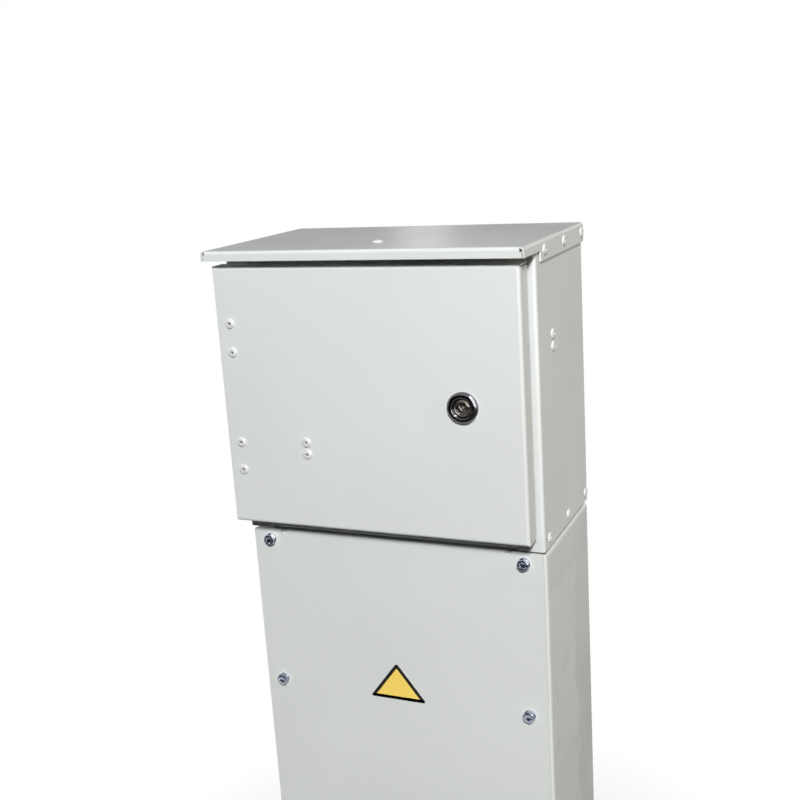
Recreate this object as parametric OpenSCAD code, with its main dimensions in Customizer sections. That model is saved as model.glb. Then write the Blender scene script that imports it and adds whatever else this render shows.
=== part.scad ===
// Free-standing electrical distribution box: a riveted sheet-steel enclosure with a hinged,
// lockable door and an overhanging rain roof, on a plinth with a bolted front cover.
// Millimetres, +Z up, the front faces -Y, the origin is the middle of the footprint.

/* [Enclosure] */
// Width of the enclosure body
body_w = 300; // [270:1:380]
// Depth of the body behind the plane of its front frame
body_d = 151; // [140:1:220]
// Height of the body shell
body_h = 273; // [262:1:380]
// Thickness of the enclosure sheet
sheet = 1.5; // [1.2:0.1:1.8]
// Outer radius of the folds
bend_r = 3; // [2.5:0.1:3.5]
// Width of the front frame at the sides
frame_w = 25; // [24:1:30]
// Length of the rain lip around the door opening
frame_lip = 12; // [9:0.5:14]

/* [Door] */
// Distance from the front frame to the face of the door
door_stand = 25; // [24:0.5:29]
// Depth of the folded door edges
door_return = 20; // [16:0.5:20.5]
// Strip of frame left bare beside the free edge of the door
door_free_gap = 6; // [3:0.5:10]
// Height of the door's lower edge above the floor of the body
door_bottom_gap = 14; // [8:0.5:16]
// Drop of the door's upper edge below the top of the body
door_top_gap = 14; // [11:0.5:18]
// Width of the foam gasket
gasket_w = 10; // [6:0.5:10]

/* [Hinges] */
// Height of a hinge leaf
hinge_h = 46; // [42:1:60]
// Height of the middle knuckle
knuckle_h = 16; // [12:0.5:18]
// Diameter of the hinge pin
hinge_pin_d = 4; // [3:0.1:4]
// Thickness of a hinge leaf
leaf_t = 2; // [1.6:0.1:2]
// Distance of the hinge axis from the door's edge
hinge_inset = 6.5; // [6.2:0.1:7]
// Distance of a hinge's middle from the nearer end of the door
hinge_end = 66; // [50:1:80]

/* [Lock] */
// Diameter of the lock's outer ring
lock_ring_d = 28; // [26:0.5:34]
// Diameter of the lock's barrel
lock_barrel_d = 19; // [18:0.5:22]
// Distance of the lock from the free edge of the door
lock_inset = 55; // [45:1:62]
// Length by which the cam reaches behind the frame
cam_reach = 10; // [6:1:14]

/* [Roof] */
// Overhang of the roof past the face of the door
roof_overhang = 12; // [8:0.5:30]
// Height of the roof's front lip
roof_lip = 9; // [6:0.5:10]
// Height of the roof's side and rear skirt
roof_skirt = 18; // [16:0.5:24]
// Distance from the front frame to the step in the side skirt
skirt_step = 10; // [6:0.5:12]

/* [Fasteners] */
// Shank diameter of the blind rivets
rivet_d = 4.8; // [4:0.1:5]
// Head diameter of the blind rivets
rivet_head_d = 9.5; // [8.5:0.1:10]
// Thread diameter of the cover bolts
cover_bolt_d = 6; // [5:0.5:6.5]
// Width across flats of the cover bolts
cover_bolt_flats = 10; // [9:0.5:11]
// Thread diameter of the bolts that join body and plinth
joint_bolt_d = 8; // [6:0.5:8]

/* [Plinth] */
// Height of the plinth
plinth_h = 427; // [400:1:900]
// Thickness of the plinth sheet
plinth_sheet = 2; // [1.5:0.1:3]
// Outer radius of the plinth's folds
plinth_bend_r = 4.5; // [3.5:0.1:6]
// Height of the bolted cover
cover_h = 322; // [280:1:370]
// Thickness of the cover
cover_t = 1.5; // [1.2:0.1:2]
// Distance of the cover's face behind the front frame
cover_setback = 2; // [1:0.5:4]
// Strip of plinth left bare beside the cover
cover_side_gap = 2.5; // [2:0.5:4]
// Rows of cover bolts
cover_rows = 3; // [2:1:4]
// Diameter of the anchor holes in the base
anchor_d = 11; // [9:0.5:14]
// Width of the base flange
base_flange = 42; // [36:1:48]

/* [Equipment] */
// Width of one module on the mounting rail
module_w = 17.8; // [17.6:0.1:18]
// Height of a rail-mounted device
device_h = 85; // [80:1:90]
// Distance of the mounting rail's front behind the front frame
rail_depth = 78; // [72:1:82]
// Length of the neutral and earth bars
bar_len = 120; // [90:5:160]
// Throw of a switch lever
lever_throw = 70; // [60:1:72]

/* [Hidden] */
$fn = 48;
// Clearances
nest_gap = 0.2;
run_gap = 0.05;
seal_gap = 0.3;
knuckle_gap = 0.5;
device_gap = 0.2;
least_bend_r = 0.5;
cut = 1;

// Widths and reference planes
body_half = body_w / 2;
roof_fit = 0.5;
roof_lap = 0.4;
roof_slit = 0.8;
roof_inner_r = bend_r - sheet;
roof_fold_run = roof_inner_r - roof_fit;
roof_fold_drop = roof_inner_r - sqrt(roof_inner_r * roof_inner_r - roof_fold_run * roof_fold_run);
roof_w = body_w + 2 * (roof_fit + sheet);
roof_d = roof_overhang + door_stand + body_d + roof_fit + sheet;
roof_front_y = -roof_d / 2;
roof_back_y = roof_d / 2;
door_face_y = roof_front_y + roof_overhang;
frame_y = door_face_y + door_stand;
back_y = frame_y + body_d;
body_mid_y = (frame_y + back_y) / 2;
joint_gap = 4;
floor_z = plinth_h + joint_gap;
body_top_z = floor_z + body_h;
roof_top_z = body_top_z + sheet;
shell_top_z = body_top_z - roof_fold_drop - nest_gap;

// Front frame and door
opening_half = body_half - frame_w;
frame_reach = frame_w - door_free_gap;
sill_z = floor_z + door_bottom_gap + frame_reach;
lintel_z = body_top_z - door_top_gap - frame_reach;
inner_frame_y = frame_y + sheet + nest_gap;
inner_half = body_half - sheet - nest_gap;
inner_back_y = back_y - sheet - nest_gap;
door_left_x = -body_half;
door_w = body_w - door_free_gap;
door_mid_x = door_left_x + door_w / 2;
door_bottom_z = floor_z + door_bottom_gap;
door_top_z = body_top_z - door_top_gap;
door_h = door_top_z - door_bottom_z;
door_mid_z = (door_bottom_z + door_top_z) / 2;
door_inner_y = door_face_y + sheet;
gasket_t = door_stand - sheet - frame_lip - seal_gap;

// Rivets
rivet_hole_d = rivet_d + 2 * run_gap;
rivet_head_h = 1.6;
rivet_tail_d = 6.6;
rivet_tail_h = 2.5;
mandrel_d = 2.4;
mandrel_drop = 0.7;
sheet_stack = 2 * sheet + nest_gap;
roof_stack = 2 * sheet + roof_fit;
roof_rivet_z = roof_top_z - roof_skirt / 2;
roof_rivet_front = 20;
rivet_back = 8.5;
side_rivet_count = 3;
head_rivet_back = 17;
head_rivet_y = frame_y + head_rivet_back;
head_flange = 30;
floor_rivet_up = 9;
floor_rivet_z = floor_z + floor_rivet_up;
floor_rivet_front = 15;
floor_flange = 17;
corner_relief = 4;

// Hinges
eye_r = hinge_pin_d / 2 + run_gap + leaf_t;
hinge_x = door_left_x + hinge_inset;
hinge_y = door_inner_y + eye_r;
hinge_zs = [door_bottom_z + hinge_end, door_top_z - hinge_end];
leaf_reach = 12;
leaf_rivet_inset = 14.5;
leaf_rivet_x = door_left_x + leaf_rivet_inset;
leaf_rivet_pitch = 27;
foot_rivet_pitch = 30;
foot_x = hinge_x + eye_r - leaf_t;
foot_end_x = -opening_half - bend_r - nest_gap;
foot_reach = foot_end_x - foot_x;
foot_rivet_x = (foot_x + bend_r + foot_end_x) / 2;
pin_head_h = 1.5;
pin_head_d = 7;
notch_gap = 1.5;
corner_slit = 1.2;

// Lock
lock_x = door_left_x + door_w - lock_inset;
lock_z = door_mid_z;
lock_ring_h = 4.2;
lock_dome_r = 4.5;
lock_bore_d = lock_barrel_d - 4;
lock_bore_gap = 0.08;
lock_mouth_d = lock_barrel_d - 1;
lock_plug_sink = 2.4;
key_well_d = 10.5;
key_well_h = 6;
key_pin_d = 3.4;
key_bit_w = 2.6;
key_bit_len = 13;
cam_t = 2.5;
cam_gap = 0.5;
cam_hub_r = 9;
cam_tip_r = 7;
cam_z = -(door_stand + sheet + cam_gap);
cam_len = opening_half - lock_x + cam_reach;
lock_barrel_len = door_stand - cam_gap;
lock_square = 7;
lock_nut_flats = 24;
lock_nut_h = 5;
cam_screw_d = 4;
cam_screw_head_d = 10;
cam_screw_head_h = 2.6;
cam_screw_len = 10;

// Bracket inside the door
stud_bracket_inset = 84;
stud_bracket_drop = 45.5;
stud_bracket_x = door_left_x + stud_bracket_inset;
stud_bracket_z = door_mid_z - stud_bracket_drop;
stud_bracket_w = 17;
stud_bracket_h = 30;
stud_bracket_t = 2;
stud_bracket_depth = 17;
stud_bracket_pitch = 11.5;
stud_d = 6;
stud_flats = 10;
stud_depth = 10.5;

// Mounting rail and devices
rail_drop = 76;
rail_z = door_top_z - rail_drop;
rail_y = frame_y + rail_depth;
rail_h = 35;
rail_base_h = 27;
rail_t = 1;
rail_deep = 7.5;
rail_slot_len = 15;
rail_slot_w = 6;
rail_slot_pitch = 25;
rail_end_gap = 1;
bracket_t = 2;
bracket_h = 44;
bracket_tab = 30;
bracket_front = 32;
bracket_rivet_back = 44;
bracket_rivet_pitch = 11;
rail_half = inner_half + nest_gap - bracket_t - rail_end_gap;
rail_screw_x = body_half - sheet - 2 * bracket_tab / 3;
rail_screw_d = 5;
rail_nut_flats = 8;
rail_nut_h = 4;
shoulder_depth = 38;
nose_depth = 54;
nose_h = 45;
hook_depth = 4;
hook_lip = 2.2;
hook_gap = 0.2;
lever_depth = 49;
lever_drum_r = 7;
lever_arm = 16.5;
lever_t = 5;
lever_gap = 0.6;
lever_pivot_d = 3;
lever_pivot_len = 1.4;
lever_rest = -lever_throw / 2;
pole_lever_w = 9;
terminal_d = 5.5;
terminal_deep = 6;
terminal_inset = 9;
terminal_z = device_h / 2 - terminal_inset;
wire_hole_d = 7;
wire_hole_deep = 9;
wire_hole_depth = 22;
main_poles = 3;
breakers = 3;
device_left = -(main_poles + breakers) * module_w / 2;

// Neutral and earth bars
bar_h = 10;
bar_t = 7;
bar_hole_d = 4;
bar_hole_pitch = 11;
bar_screw_d = 4;
bar_screw_head_d = 6.4;
bar_screw_head_h = 2.4;
foot_w = 14;
foot_d = 22;
foot_h = 18;
foot_base_t = 8;
foot_step = 2;
foot_corner_r = 2;
neutral_up = 104;
earth_up = 64;
neutral_z = floor_z + neutral_up;
earth_z = floor_z + earth_up;

// Plinth
plinth_half = body_half;
plinth_w = 2 * plinth_half;
cover_face_y = frame_y + cover_setback;
plinth_front_y = cover_face_y + cover_t;
plinth_d = back_y - plinth_front_y;
plinth_mid_y = (plinth_front_y + back_y) / 2;
plinth_inner_r = max(plinth_bend_r - plinth_sheet, least_bend_r);
plinth_strip = 34;
cover_half = plinth_half - cover_side_gap;
cover_top_z = plinth_h + cover_t;
cover_bottom_z = cover_top_z - cover_h;
cover_flange = 12;
cover_flange_end = 36;
cover_notch_w = 6;
cover_notch_h = 4.5;
cover_corner_r = 3;
cover_bolt_inset = 18;
cover_bolt_drop = 10.5;
cover_bolt_x = cover_half - cover_bolt_inset;
cover_bolt_pitch = (cover_h - 2 * cover_bolt_drop) / (cover_rows - 1);
cover_bolt_zs = [for (i = [0 : cover_rows - 1]) cover_top_z - cover_bolt_drop - i * cover_bolt_pitch];
cover_hole_gap = 0.3;
cover_hole_d = cover_bolt_d + 2 * cover_hole_gap;
cover_head_h = 4;
cover_washer_rim = 2.75;
cover_washer_d = cover_bolt_d + 2 * cover_washer_rim;
cover_washer_t = 1.6;
cover_nut_h = 5;
head_dimple = 0.55;
head_dimple_h = 1.2;
head_cone = 2.2;
thread_spare = 1.5;
cross_slot = 0.64;
joint_inset_x = 13;
nut_gap = 1;
joint_washer_d = 17;
joint_flats = 13;
joint_head_h = 5.3;
joint_nut_h = 6.5;
joint_inset_y = plinth_sheet + cover_nut_h + thread_spare + joint_flats / (2 * cos(30)) + nut_gap;
flange_margin = 2.5;
plinth_top_flange = joint_inset_y + joint_washer_d / 2 + flange_margin;
joint_xs = [-(plinth_half - joint_inset_x), plinth_half - joint_inset_x];
joint_ys = [plinth_front_y + joint_inset_y, back_y - joint_inset_y];
anchor_inset_x = 27;
anchor_inset_y = 25;
grommet_d = 32;
grommet_lip = 3.5;
grommet_lip_t = 2;
grommet_web = 1.5;
grommet_pitch = 78;
grommets = 3;
cable_rail_z = 300;
cable_rail_h = 30;
cable_rail_d = 15;
cable_rail_t = 1.5;
cable_rail_lip = 7;

// Colours
paint = [0.83, 0.84, 0.82];
zinc = [0.72, 0.74, 0.77];
chrome = [0.8, 0.8, 0.82];
brass = [0.78, 0.65, 0.35];
foam = [0.12, 0.12, 0.12];
rubber = [0.15, 0.15, 0.16];
device_grey = [0.86, 0.86, 0.84];
lever_black = [0.1, 0.1, 0.1];
neutral_blue = [0.15, 0.35, 0.7];

// Extrusions between two planes: a flat shape's axes become Y and Z, X and Z, or X and Y
module along_x(x0, x1) {
    translate([x0, 0, 0]) rotate([90, 0, 90]) linear_extrude(x1 - x0) children();
}

module along_y(y0, y1) {
    translate([0, y1, 0]) rotate([90, 0, 0]) linear_extrude(y1 - y0) children();
}

module along_z(z0, z1) {
    translate([0, 0, z0]) linear_extrude(z1 - z0) children();
}

// A rectangle from the origin with its corner there rounded
module round_corner(a, b, r) {
    translate([r, 0]) square([a - r, b]);
    translate([0, r]) square([a, b - r]);
    intersection() {
        translate([r, r]) circle(r);
        square([a, b]);
    }
}

// A folded strip of sheet: legs a along X and b along Y from an outer corner at the origin
module bent_leg(a, b, r, t) {
    difference() {
        round_corner(a, b, r);
        translate([t, t]) round_corner(a, b, r - t);
    }
}

// A rectangle on its own middle with all corners rounded
module round_plate(w, h, r) {
    square([w - 2 * r, h], center = true);
    square([w, h - 2 * r], center = true);
    for (sx = [-1, 1], sy = [-1, 1])
        translate([sx * (w / 2 - r), sy * (h / 2 - r)]) circle(r);
}

// A rectangle centred in X from Y 0 to d, with its two corners at Y 0 rounded
module front_round(w, d, r) {
    translate([-(w / 2 - r), 0]) square([w - 2 * r, d]);
    translate([-w / 2, r]) square([w, d - r]);
    for (s = [-1, 1])
        translate([s * (w / 2 - r), r]) circle(r);
}

// A block whose four edges round its front face are rounded, centred in X and Z
module round_pan(w, h, d, r) {
    intersection() {
        linear_extrude(h, center = true) front_round(w, d, r);
        rotate([0, -90, 0]) linear_extrude(w, center = true) front_round(h, d, r);
    }
}

// A block with every edge along the three axes rounded, centred
module round_block(w, d, h, r) {
    intersection() {
        linear_extrude(h, center = true) round_plate(w, d, r);
        rotate([90, 0, 0]) linear_extrude(d, center = true) round_plate(w, h, r);
        rotate([90, 0, 90]) linear_extrude(w, center = true) round_plate(d, h, r);
    }
}

// Turns what points along +Z to the front, or to the side of sign s
module to_front() {
    rotate([90, 0, 0]) children();
}

module to_side(s) {
    rotate([0, s * 90, 0]) children();
}

// A blind rivet through a stack of sheet, its domed head on +Z
module rivet(stack) {
    head_r = rivet_head_d / 2;
    dome_r = (head_r * head_r + rivet_head_h * rivet_head_h) / (2 * rivet_head_h);
    difference() {
        intersection() {
            translate([0, 0, rivet_head_h - dome_r]) sphere(dome_r);
            cylinder(d = 2 * rivet_head_d, h = rivet_head_h + cut);
        }
        translate([0, 0, rivet_head_h - mandrel_drop]) cylinder(d = mandrel_d, h = rivet_head_h);
    }
    translate([0, 0, -stack]) cylinder(d = rivet_d, h = stack + rivet_head_h / 2);
    translate([0, 0, -stack - rivet_tail_h]) cylinder(d = rivet_tail_d, h = rivet_tail_h);
}

// A six-sided prism of a given width across flats
module hex(flats, h) {
    cylinder(d = flats / cos(30), h = h, $fn = 6);
}

// A hex bolt with a dished head on +Z and its shank below
module hex_bolt(d, flats, head_h, len) {
    difference() {
        intersection() {
            hex(flats, head_h);
            translate([0, 0, -head_h]) cylinder(d1 = flats * head_cone, d2 = flats, h = 2 * head_h);
        }
        translate([0, 0, head_h - head_dimple_h]) cylinder(d = flats * head_dimple, h = head_dimple_h + cut);
    }
    translate([0, 0, -len]) cylinder(d = d, h = len + head_h / 4);
}

// A hex nut from Z 0 up, with the clearance that stands for its thread
module hex_nut(d, flats, h) {
    difference() {
        hex(flats, h);
        translate([0, 0, -cut]) cylinder(d = d + 2 * run_gap, h = h + 2 * cut);
    }
}

// A round-headed screw with a cross slot, its head on +Z
module pan_screw(d, head_d, head_h, len) {
    slot_w = head_d / 6;
    slot_len = head_d * cross_slot;
    difference() {
        cylinder(d = head_d, h = head_h);
        for (a = [0, 90])
            rotate(a) translate([-slot_len / 2, -slot_w / 2, head_h / 2]) cube([slot_len, slot_w, head_h]);
    }
    translate([0, 0, -len]) cylinder(d = d, h = len + head_h / 4);
}

// Evenly spaced places along a line
function spread(from, to, count) = [for (i = [0 : count - 1]) from + i * (to - from) / (count - 1)];

roof_rivet_ys = spread(frame_y + roof_rivet_front, back_y - rivet_back, side_rivet_count);
floor_rivet_ys = spread(frame_y + floor_rivet_front, back_y - rivet_back, side_rivet_count);
bracket_rivet_y = frame_y + bracket_rivet_back;
bracket_rivet_zs = [rail_z - bracket_rivet_pitch / 2, rail_z + bracket_rivet_pitch / 2];

// Holes right across the body along X
module side_holes(ys, zs) {
    for (y = ys, z = zs)
        translate([0, y, z]) rotate([0, 90, 0])
            cylinder(d = rivet_hole_d, h = roof_w + 2 * cut, center = true);
}

// Rivets in both side walls, heads at a distance x from the middle
module side_rivets(x, ys, zs, stack) {
    for (s = [-1, 1], y = ys, z = zs)
        translate([s * x, y, z]) to_side(s) rivet(stack);
}

// Front flanges, sides and back, folded from one sheet, with a rain lip beside the opening
module body_shell() {
    color(paint) {
        difference() {
            along_z(floor_z, shell_top_z) translate([0, body_mid_y]) difference() {
                round_plate(body_w, body_d, bend_r);
                round_plate(body_w - 2 * sheet, body_d - 2 * sheet, bend_r - sheet);
            }
            along_z(floor_z - cut, body_top_z + cut)
                translate([-opening_half, frame_y - cut]) square([2 * opening_half, sheet + 2 * cut]);
            along_z(sill_z, lintel_z)
                translate([-opening_half - bend_r, frame_y - cut])
                    square([2 * (opening_half + bend_r), sheet + 2 * cut]);
            side_holes(floor_rivet_ys, [floor_rivet_z]);
            side_holes(roof_rivet_ys, [roof_rivet_z]);
            side_holes([bracket_rivet_y], bracket_rivet_zs);
            body_leaf_holes(frame_y);
        }
        for (s = [-1, 1])
            along_z(sill_z, lintel_z) scale([s, 1]) translate([opening_half, frame_y + sheet])
                mirror([0, 1]) bent_leg(bend_r + cut, frame_lip + sheet, bend_r, sheet);
    }
}

// Rain roof: top sheet, low front lip, stepped side skirts and rear skirt
module roof() {
    step_y = frame_y + skirt_step;
    plate_front_y = roof_front_y + bend_r;
    plate_back_y = roof_back_y - bend_r;
    lip_half = roof_w / 2 - bend_r - roof_lap - roof_slit;
    lip_end = roof_w / 2 - sheet - roof_slit;
    color(paint) difference() {
        union() {
            along_y(plate_front_y, plate_back_y) translate([-roof_w / 2 + bend_r, roof_top_z - sheet])
                square([roof_w - 2 * bend_r, sheet]);
            for (s = [-1, 1]) {
                along_y(roof_front_y, step_y) scale([s, 1]) translate([roof_w / 2, roof_top_z])
                    rotate(180) bent_leg(bend_r + roof_lap, roof_lip, bend_r, sheet);
                along_y(step_y - cut, plate_back_y) scale([s, 1]) translate([roof_w / 2, roof_top_z])
                    rotate(180) bent_leg(bend_r + roof_lap, roof_skirt, bend_r, sheet);
            }
            along_x(-lip_half, lip_half) translate([roof_front_y, roof_top_z])
                mirror([0, 1]) bent_leg(bend_r + roof_lap, roof_lip, bend_r, sheet);
            along_x(-lip_end, lip_end) translate([roof_front_y, roof_top_z - roof_lip])
                square([sheet, roof_lip - bend_r - roof_slit]);
            along_x(-roof_w / 2 + bend_r, roof_w / 2 - bend_r) translate([roof_back_y, roof_top_z])
                rotate(180) bent_leg(bend_r + roof_lap, roof_skirt, bend_r, sheet);
        }
        side_holes(roof_rivet_ys, [roof_rivet_z]);
        head_rivet_hole();
    }
}

module head_rivet_hole() {
    translate([0, head_rivet_y, body_top_z]) cylinder(d = rivet_hole_d, h = 4 * sheet, center = true);
}

// Folded rail behind the flanges that closes the frame above the door and carries the roof
module head_rail() {
    wall_h = body_top_z - lintel_z;
    color(paint) difference() {
        union() {
            along_x(-inner_half + corner_relief, inner_half - corner_relief)
                translate([inner_frame_y, body_top_z]) mirror([0, 1])
                    bent_leg(head_flange, wall_h - bend_r, bend_r, sheet);
            along_x(-opening_half + nest_gap, opening_half - nest_gap)
                translate([inner_frame_y + sheet, lintel_z]) mirror([1, 0])
                    bent_leg(frame_lip + inner_frame_y + sheet - frame_y, bend_r + cut, bend_r, sheet);
        }
        head_rivet_hole();
    }
}

// Floor tray with riveted side flanges and a front upstand that ends in the lower rain lip
module floor_plate() {
    upstand = sill_z - floor_z;
    front_y = inner_frame_y + corner_relief;
    rear_y = inner_back_y - corner_relief;
    half = inner_half - corner_relief;
    color(paint) difference() {
        union() {
            for (s = [-1, 1])
                along_y(front_y, rear_y) scale([s, 1]) translate([inner_half, floor_z]) mirror([1, 0])
                    bent_leg(inner_half + cut, floor_flange, bend_r, sheet);
            along_x(-half, half) translate([inner_frame_y, floor_z])
                bent_leg(corner_relief + cut, upstand - bend_r, bend_r, sheet);
            along_x(-opening_half + nest_gap, opening_half - nest_gap)
                translate([inner_frame_y + sheet, sill_z]) rotate(180)
                    bent_leg(frame_lip + inner_frame_y + sheet - frame_y, bend_r + cut, bend_r, sheet);
            along_x(-half, half) translate([inner_back_y, floor_z]) mirror([1, 0])
                bent_leg(corner_relief + cut, floor_flange, bend_r, sheet);
        }
        side_holes(floor_rivet_ys, [floor_rivet_z]);
        joint_holes(floor_z);
        for (x = grommet_xs)
            translate([x, body_mid_y, floor_z - cut])
                cylinder(d = grommet_d + 2 * run_gap, h = sheet + 2 * cut);
    }
}

grommet_xs = spread(-grommet_pitch, grommet_pitch, grommets);

// Closed rubber cable grommets in the floor
module floor_grommets() {
    lip_r = grommet_d / 2 + grommet_lip;
    color(rubber) for (x = grommet_xs)
        translate([x, body_mid_y, floor_z]) rotate_extrude() {
            translate([0, -grommet_lip_t]) square([grommet_d / 2, grommet_web]);
            translate([grommet_d / 2 - grommet_lip, -grommet_lip_t])
                square([grommet_lip, 2 * grommet_lip_t + sheet]);
            for (z = [-grommet_lip_t, sheet])
                translate([grommet_d / 2 - cut, z]) square([lip_r - grommet_d / 2 + cut, grommet_lip_t]);
        }
}

module roof_rivets() {
    color(paint) {
        side_rivets(roof_w / 2, roof_rivet_ys, [roof_rivet_z], roof_stack);
        translate([0, head_rivet_y, roof_top_z]) rivet(2 * sheet);
    }
}

module floor_rivets() {
    color(paint) side_rivets(body_half, floor_rivet_ys, [floor_rivet_z], sheet_stack);
}

module bracket_rivets() {
    color(paint) side_rivets(body_half, [bracket_rivet_y], bracket_rivet_zs, sheet + bracket_t);
}

// Angle riveted to a side wall, with the tab that the mounting rail is screwed to
module rail_bracket(s) {
    tab_back_y = rail_y + rail_deep + bracket_t;
    color(zinc) difference() {
        along_z(rail_z - bracket_h / 2, rail_z + bracket_h / 2) scale([s, 1])
            translate([body_half - sheet, tab_back_y]) rotate(180)
                bent_leg(bracket_tab, tab_back_y - frame_y - bracket_front, bend_r, bracket_t);
        side_holes([bracket_rivet_y], bracket_rivet_zs);
        rail_screw_holes();
    }
}

module rail_bracket_left() {
    rail_bracket(-1);
}

module rail_bracket_right() {
    rail_bracket(1);
}

module rail_screw_holes() {
    for (s = [-1, 1])
        translate([s * rail_screw_x, rail_y + rail_deep, rail_z]) rotate([90, 0, 0])
            cylinder(d = rail_screw_d + 2 * run_gap, h = 4 * bracket_t, center = true);
}

// Top-hat mounting rail with a row of slots
module din_rail() {
    web_y = rail_y + rail_deep - rail_t;
    last_slot_x = rail_screw_x - rail_slot_len;
    slots_half = floor(last_slot_x / rail_slot_pitch);
    brim_h = (rail_h - rail_base_h) / 2 + rail_t;
    brim_mid = (rail_h - brim_h) / 2;
    color(zinc) difference() {
        along_x(-rail_half, rail_half) translate([rail_y, rail_z]) {
            for (s = [-1, 1]) {
                translate([0, s * brim_mid - brim_h / 2]) square([rail_t, brim_h]);
                translate([0, s * (rail_base_h - rail_t) / 2 - rail_t / 2]) square([rail_deep, rail_t]);
            }
            translate([rail_deep - rail_t, -rail_base_h / 2]) square([rail_t, rail_base_h]);
        }
        for (i = [-slots_half : slots_half])
            along_y(web_y - cut, web_y + rail_t + cut) translate([i * rail_slot_pitch, rail_z])
                round_plate(rail_slot_len, rail_slot_w, rail_slot_w / 2 - run_gap);
        rail_screw_holes();
    }
}

module rail_screws() {
    color(zinc) for (s = [-1, 1])
        translate([s * rail_screw_x, rail_y + rail_deep - rail_t, rail_z]) to_front()
            pan_screw(rail_screw_d, 2 * rail_screw_d, rail_screw_d / 2, rail_t + bracket_t + rail_screw_d);
}

module rail_nuts() {
    color(zinc) for (s = [-1, 1])
        translate([s * rail_screw_x, rail_y + rail_deep + bracket_t, rail_z]) rotate([-90, 0, 0])
            hex_nut(rail_screw_d, rail_nut_flats, rail_nut_h);
}

// Side view of a rail-mounted device: stepped front, and hooks behind the rail's edges
module device_outline() {
    hook_z = rail_h / 2 + hook_gap;
    translate([-shoulder_depth, -device_h / 2]) square([shoulder_depth, device_h]);
    translate([-nose_depth, -nose_h / 2]) square([nose_depth, nose_h]);
    for (s = [0, 1]) mirror([0, s]) {
        translate([-cut, hook_z]) square([hook_depth + cut, device_h / 2 - hook_z]);
        translate([rail_t + hook_gap, hook_z - hook_lip])
            square([hook_depth - rail_t - hook_gap, hook_lip + cut]);
    }
}

// Device with one pole in each module, a slot for its lever and screw terminals at both ends
module device(x0, poles, lever_w) {
    width = poles * module_w - device_gap;
    mid_x = x0 + poles * module_w / 2;
    pivot_y = rail_y - lever_depth;
    slot_r = lever_drum_r + lever_gap;
    slot_w = lever_w + 2 * lever_gap;
    color(device_grey) difference() {
        along_x(mid_x - width / 2, mid_x + width / 2) translate([rail_y, rail_z]) device_outline();
        translate([mid_x, pivot_y, rail_z]) {
            rotate([0, 90, 0]) cylinder(r = slot_r, h = slot_w, center = true);
            translate([-slot_w / 2, -nose_depth, -slot_r]) cube([slot_w, nose_depth, 2 * slot_r]);
            rotate([0, 90, 0])
                cylinder(d = lever_pivot_d + 2 * run_gap, h = slot_w + 2 * lever_pivot_len, center = true);
        }
        for (i = [0 : poles - 1], s = [-1, 1])
            translate([x0 + (i + 0.5) * module_w, rail_y, rail_z]) {
                translate([0, -shoulder_depth + terminal_deep, s * terminal_z]) to_front()
                    cylinder(d = terminal_d, h = terminal_deep + cut);
                translate([0, -wire_hole_depth, s * (device_h / 2 - wire_hole_deep / 2)])
                    cylinder(d = wire_hole_d, h = wire_hole_deep + cut, center = true);
            }
    }
}

// Lever on its own stub axles, at rest in the lower position
module toggle(mid_x, lever_w) {
    axle_len = lever_w + 2 * (lever_gap + lever_pivot_len - run_gap);
    color(lever_black) translate([mid_x, rail_y - lever_depth, rail_z]) rotate([-lever_rest, 0, 0]) {
        rotate([0, 90, 0]) cylinder(r = lever_drum_r, h = lever_w, center = true);
        rotate([0, 90, 0]) cylinder(d = lever_pivot_d, h = axle_len, center = true);
        along_x(-lever_w / 2, lever_w / 2) {
            translate([-lever_arm + lever_t / 2, -lever_t / 2]) square([lever_arm - lever_t / 2, lever_t]);
            translate([-lever_arm + lever_t / 2, 0]) circle(d = lever_t);
        }
    }
}

main_lever_w = (main_poles - 1) * module_w + pole_lever_w;
main_mid_x = device_left + main_poles * module_w / 2;
function breaker_x(i) = device_left + (main_poles + i - 1) * module_w;

module main_switch() {
    device(device_left, main_poles, main_lever_w);
}

module breaker(i) {
    device(breaker_x(i), 1, pole_lever_w);
}

module main_toggle() {
    toggle(main_mid_x, main_lever_w);
}

module breaker_toggle(i) {
    toggle(breaker_x(i) + module_w / 2, pole_lever_w);
}

// Drilled brass bar with a wire screw over each hole
bar_mid_y = back_y - sheet - foot_d;
bar_holes = floor((bar_len - 2 * foot_w) / bar_hole_pitch);
bar_hole_xs = [for (i = [0 : bar_holes - 1]) (i - (bar_holes - 1) / 2) * bar_hole_pitch];
bar_foot_x = bar_len / 2 - foot_w / 2;

module terminal_bar(z) {
    color(brass) difference() {
        translate([-bar_len / 2, bar_mid_y - bar_t, z - bar_h / 2]) cube([bar_len, bar_t, bar_h]);
        for (x = bar_hole_xs) {
            translate([x, bar_mid_y - bar_t / 2, z - bar_h / 4]) rotate([90, 0, 0])
                cylinder(d = bar_hole_d, h = bar_t + 2 * cut, center = true);
            translate([x, bar_mid_y - bar_t / 2, z])
                cylinder(d = bar_screw_d + 2 * run_gap, h = bar_h / 2 + cut);
        }
        for (s = [-1, 1])
            translate([s * bar_foot_x, bar_mid_y - bar_t / 2, z]) rotate([90, 0, 0])
                cylinder(d = bar_screw_d + 2 * run_gap, h = bar_t + 2 * cut, center = true);
    }
}

// Feet that hold a bar off the rear wall
module bar_feet(z, tint) {
    color(tint) for (s = [-1, 1])
        translate([s * bar_foot_x, 0, z]) difference() {
            union() {
                along_y(bar_mid_y, back_y - sheet) round_plate(foot_w, foot_h - 2 * foot_step, foot_corner_r);
                along_y(back_y - sheet - foot_base_t, back_y - sheet)
                    round_plate(foot_w, foot_h, foot_corner_r);
            }
            translate([0, bar_mid_y - cut, 0]) rotate([-90, 0, 0])
                cylinder(d = bar_screw_d + 2 * run_gap, h = foot_d / 2 + cut);
        }
}

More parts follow.
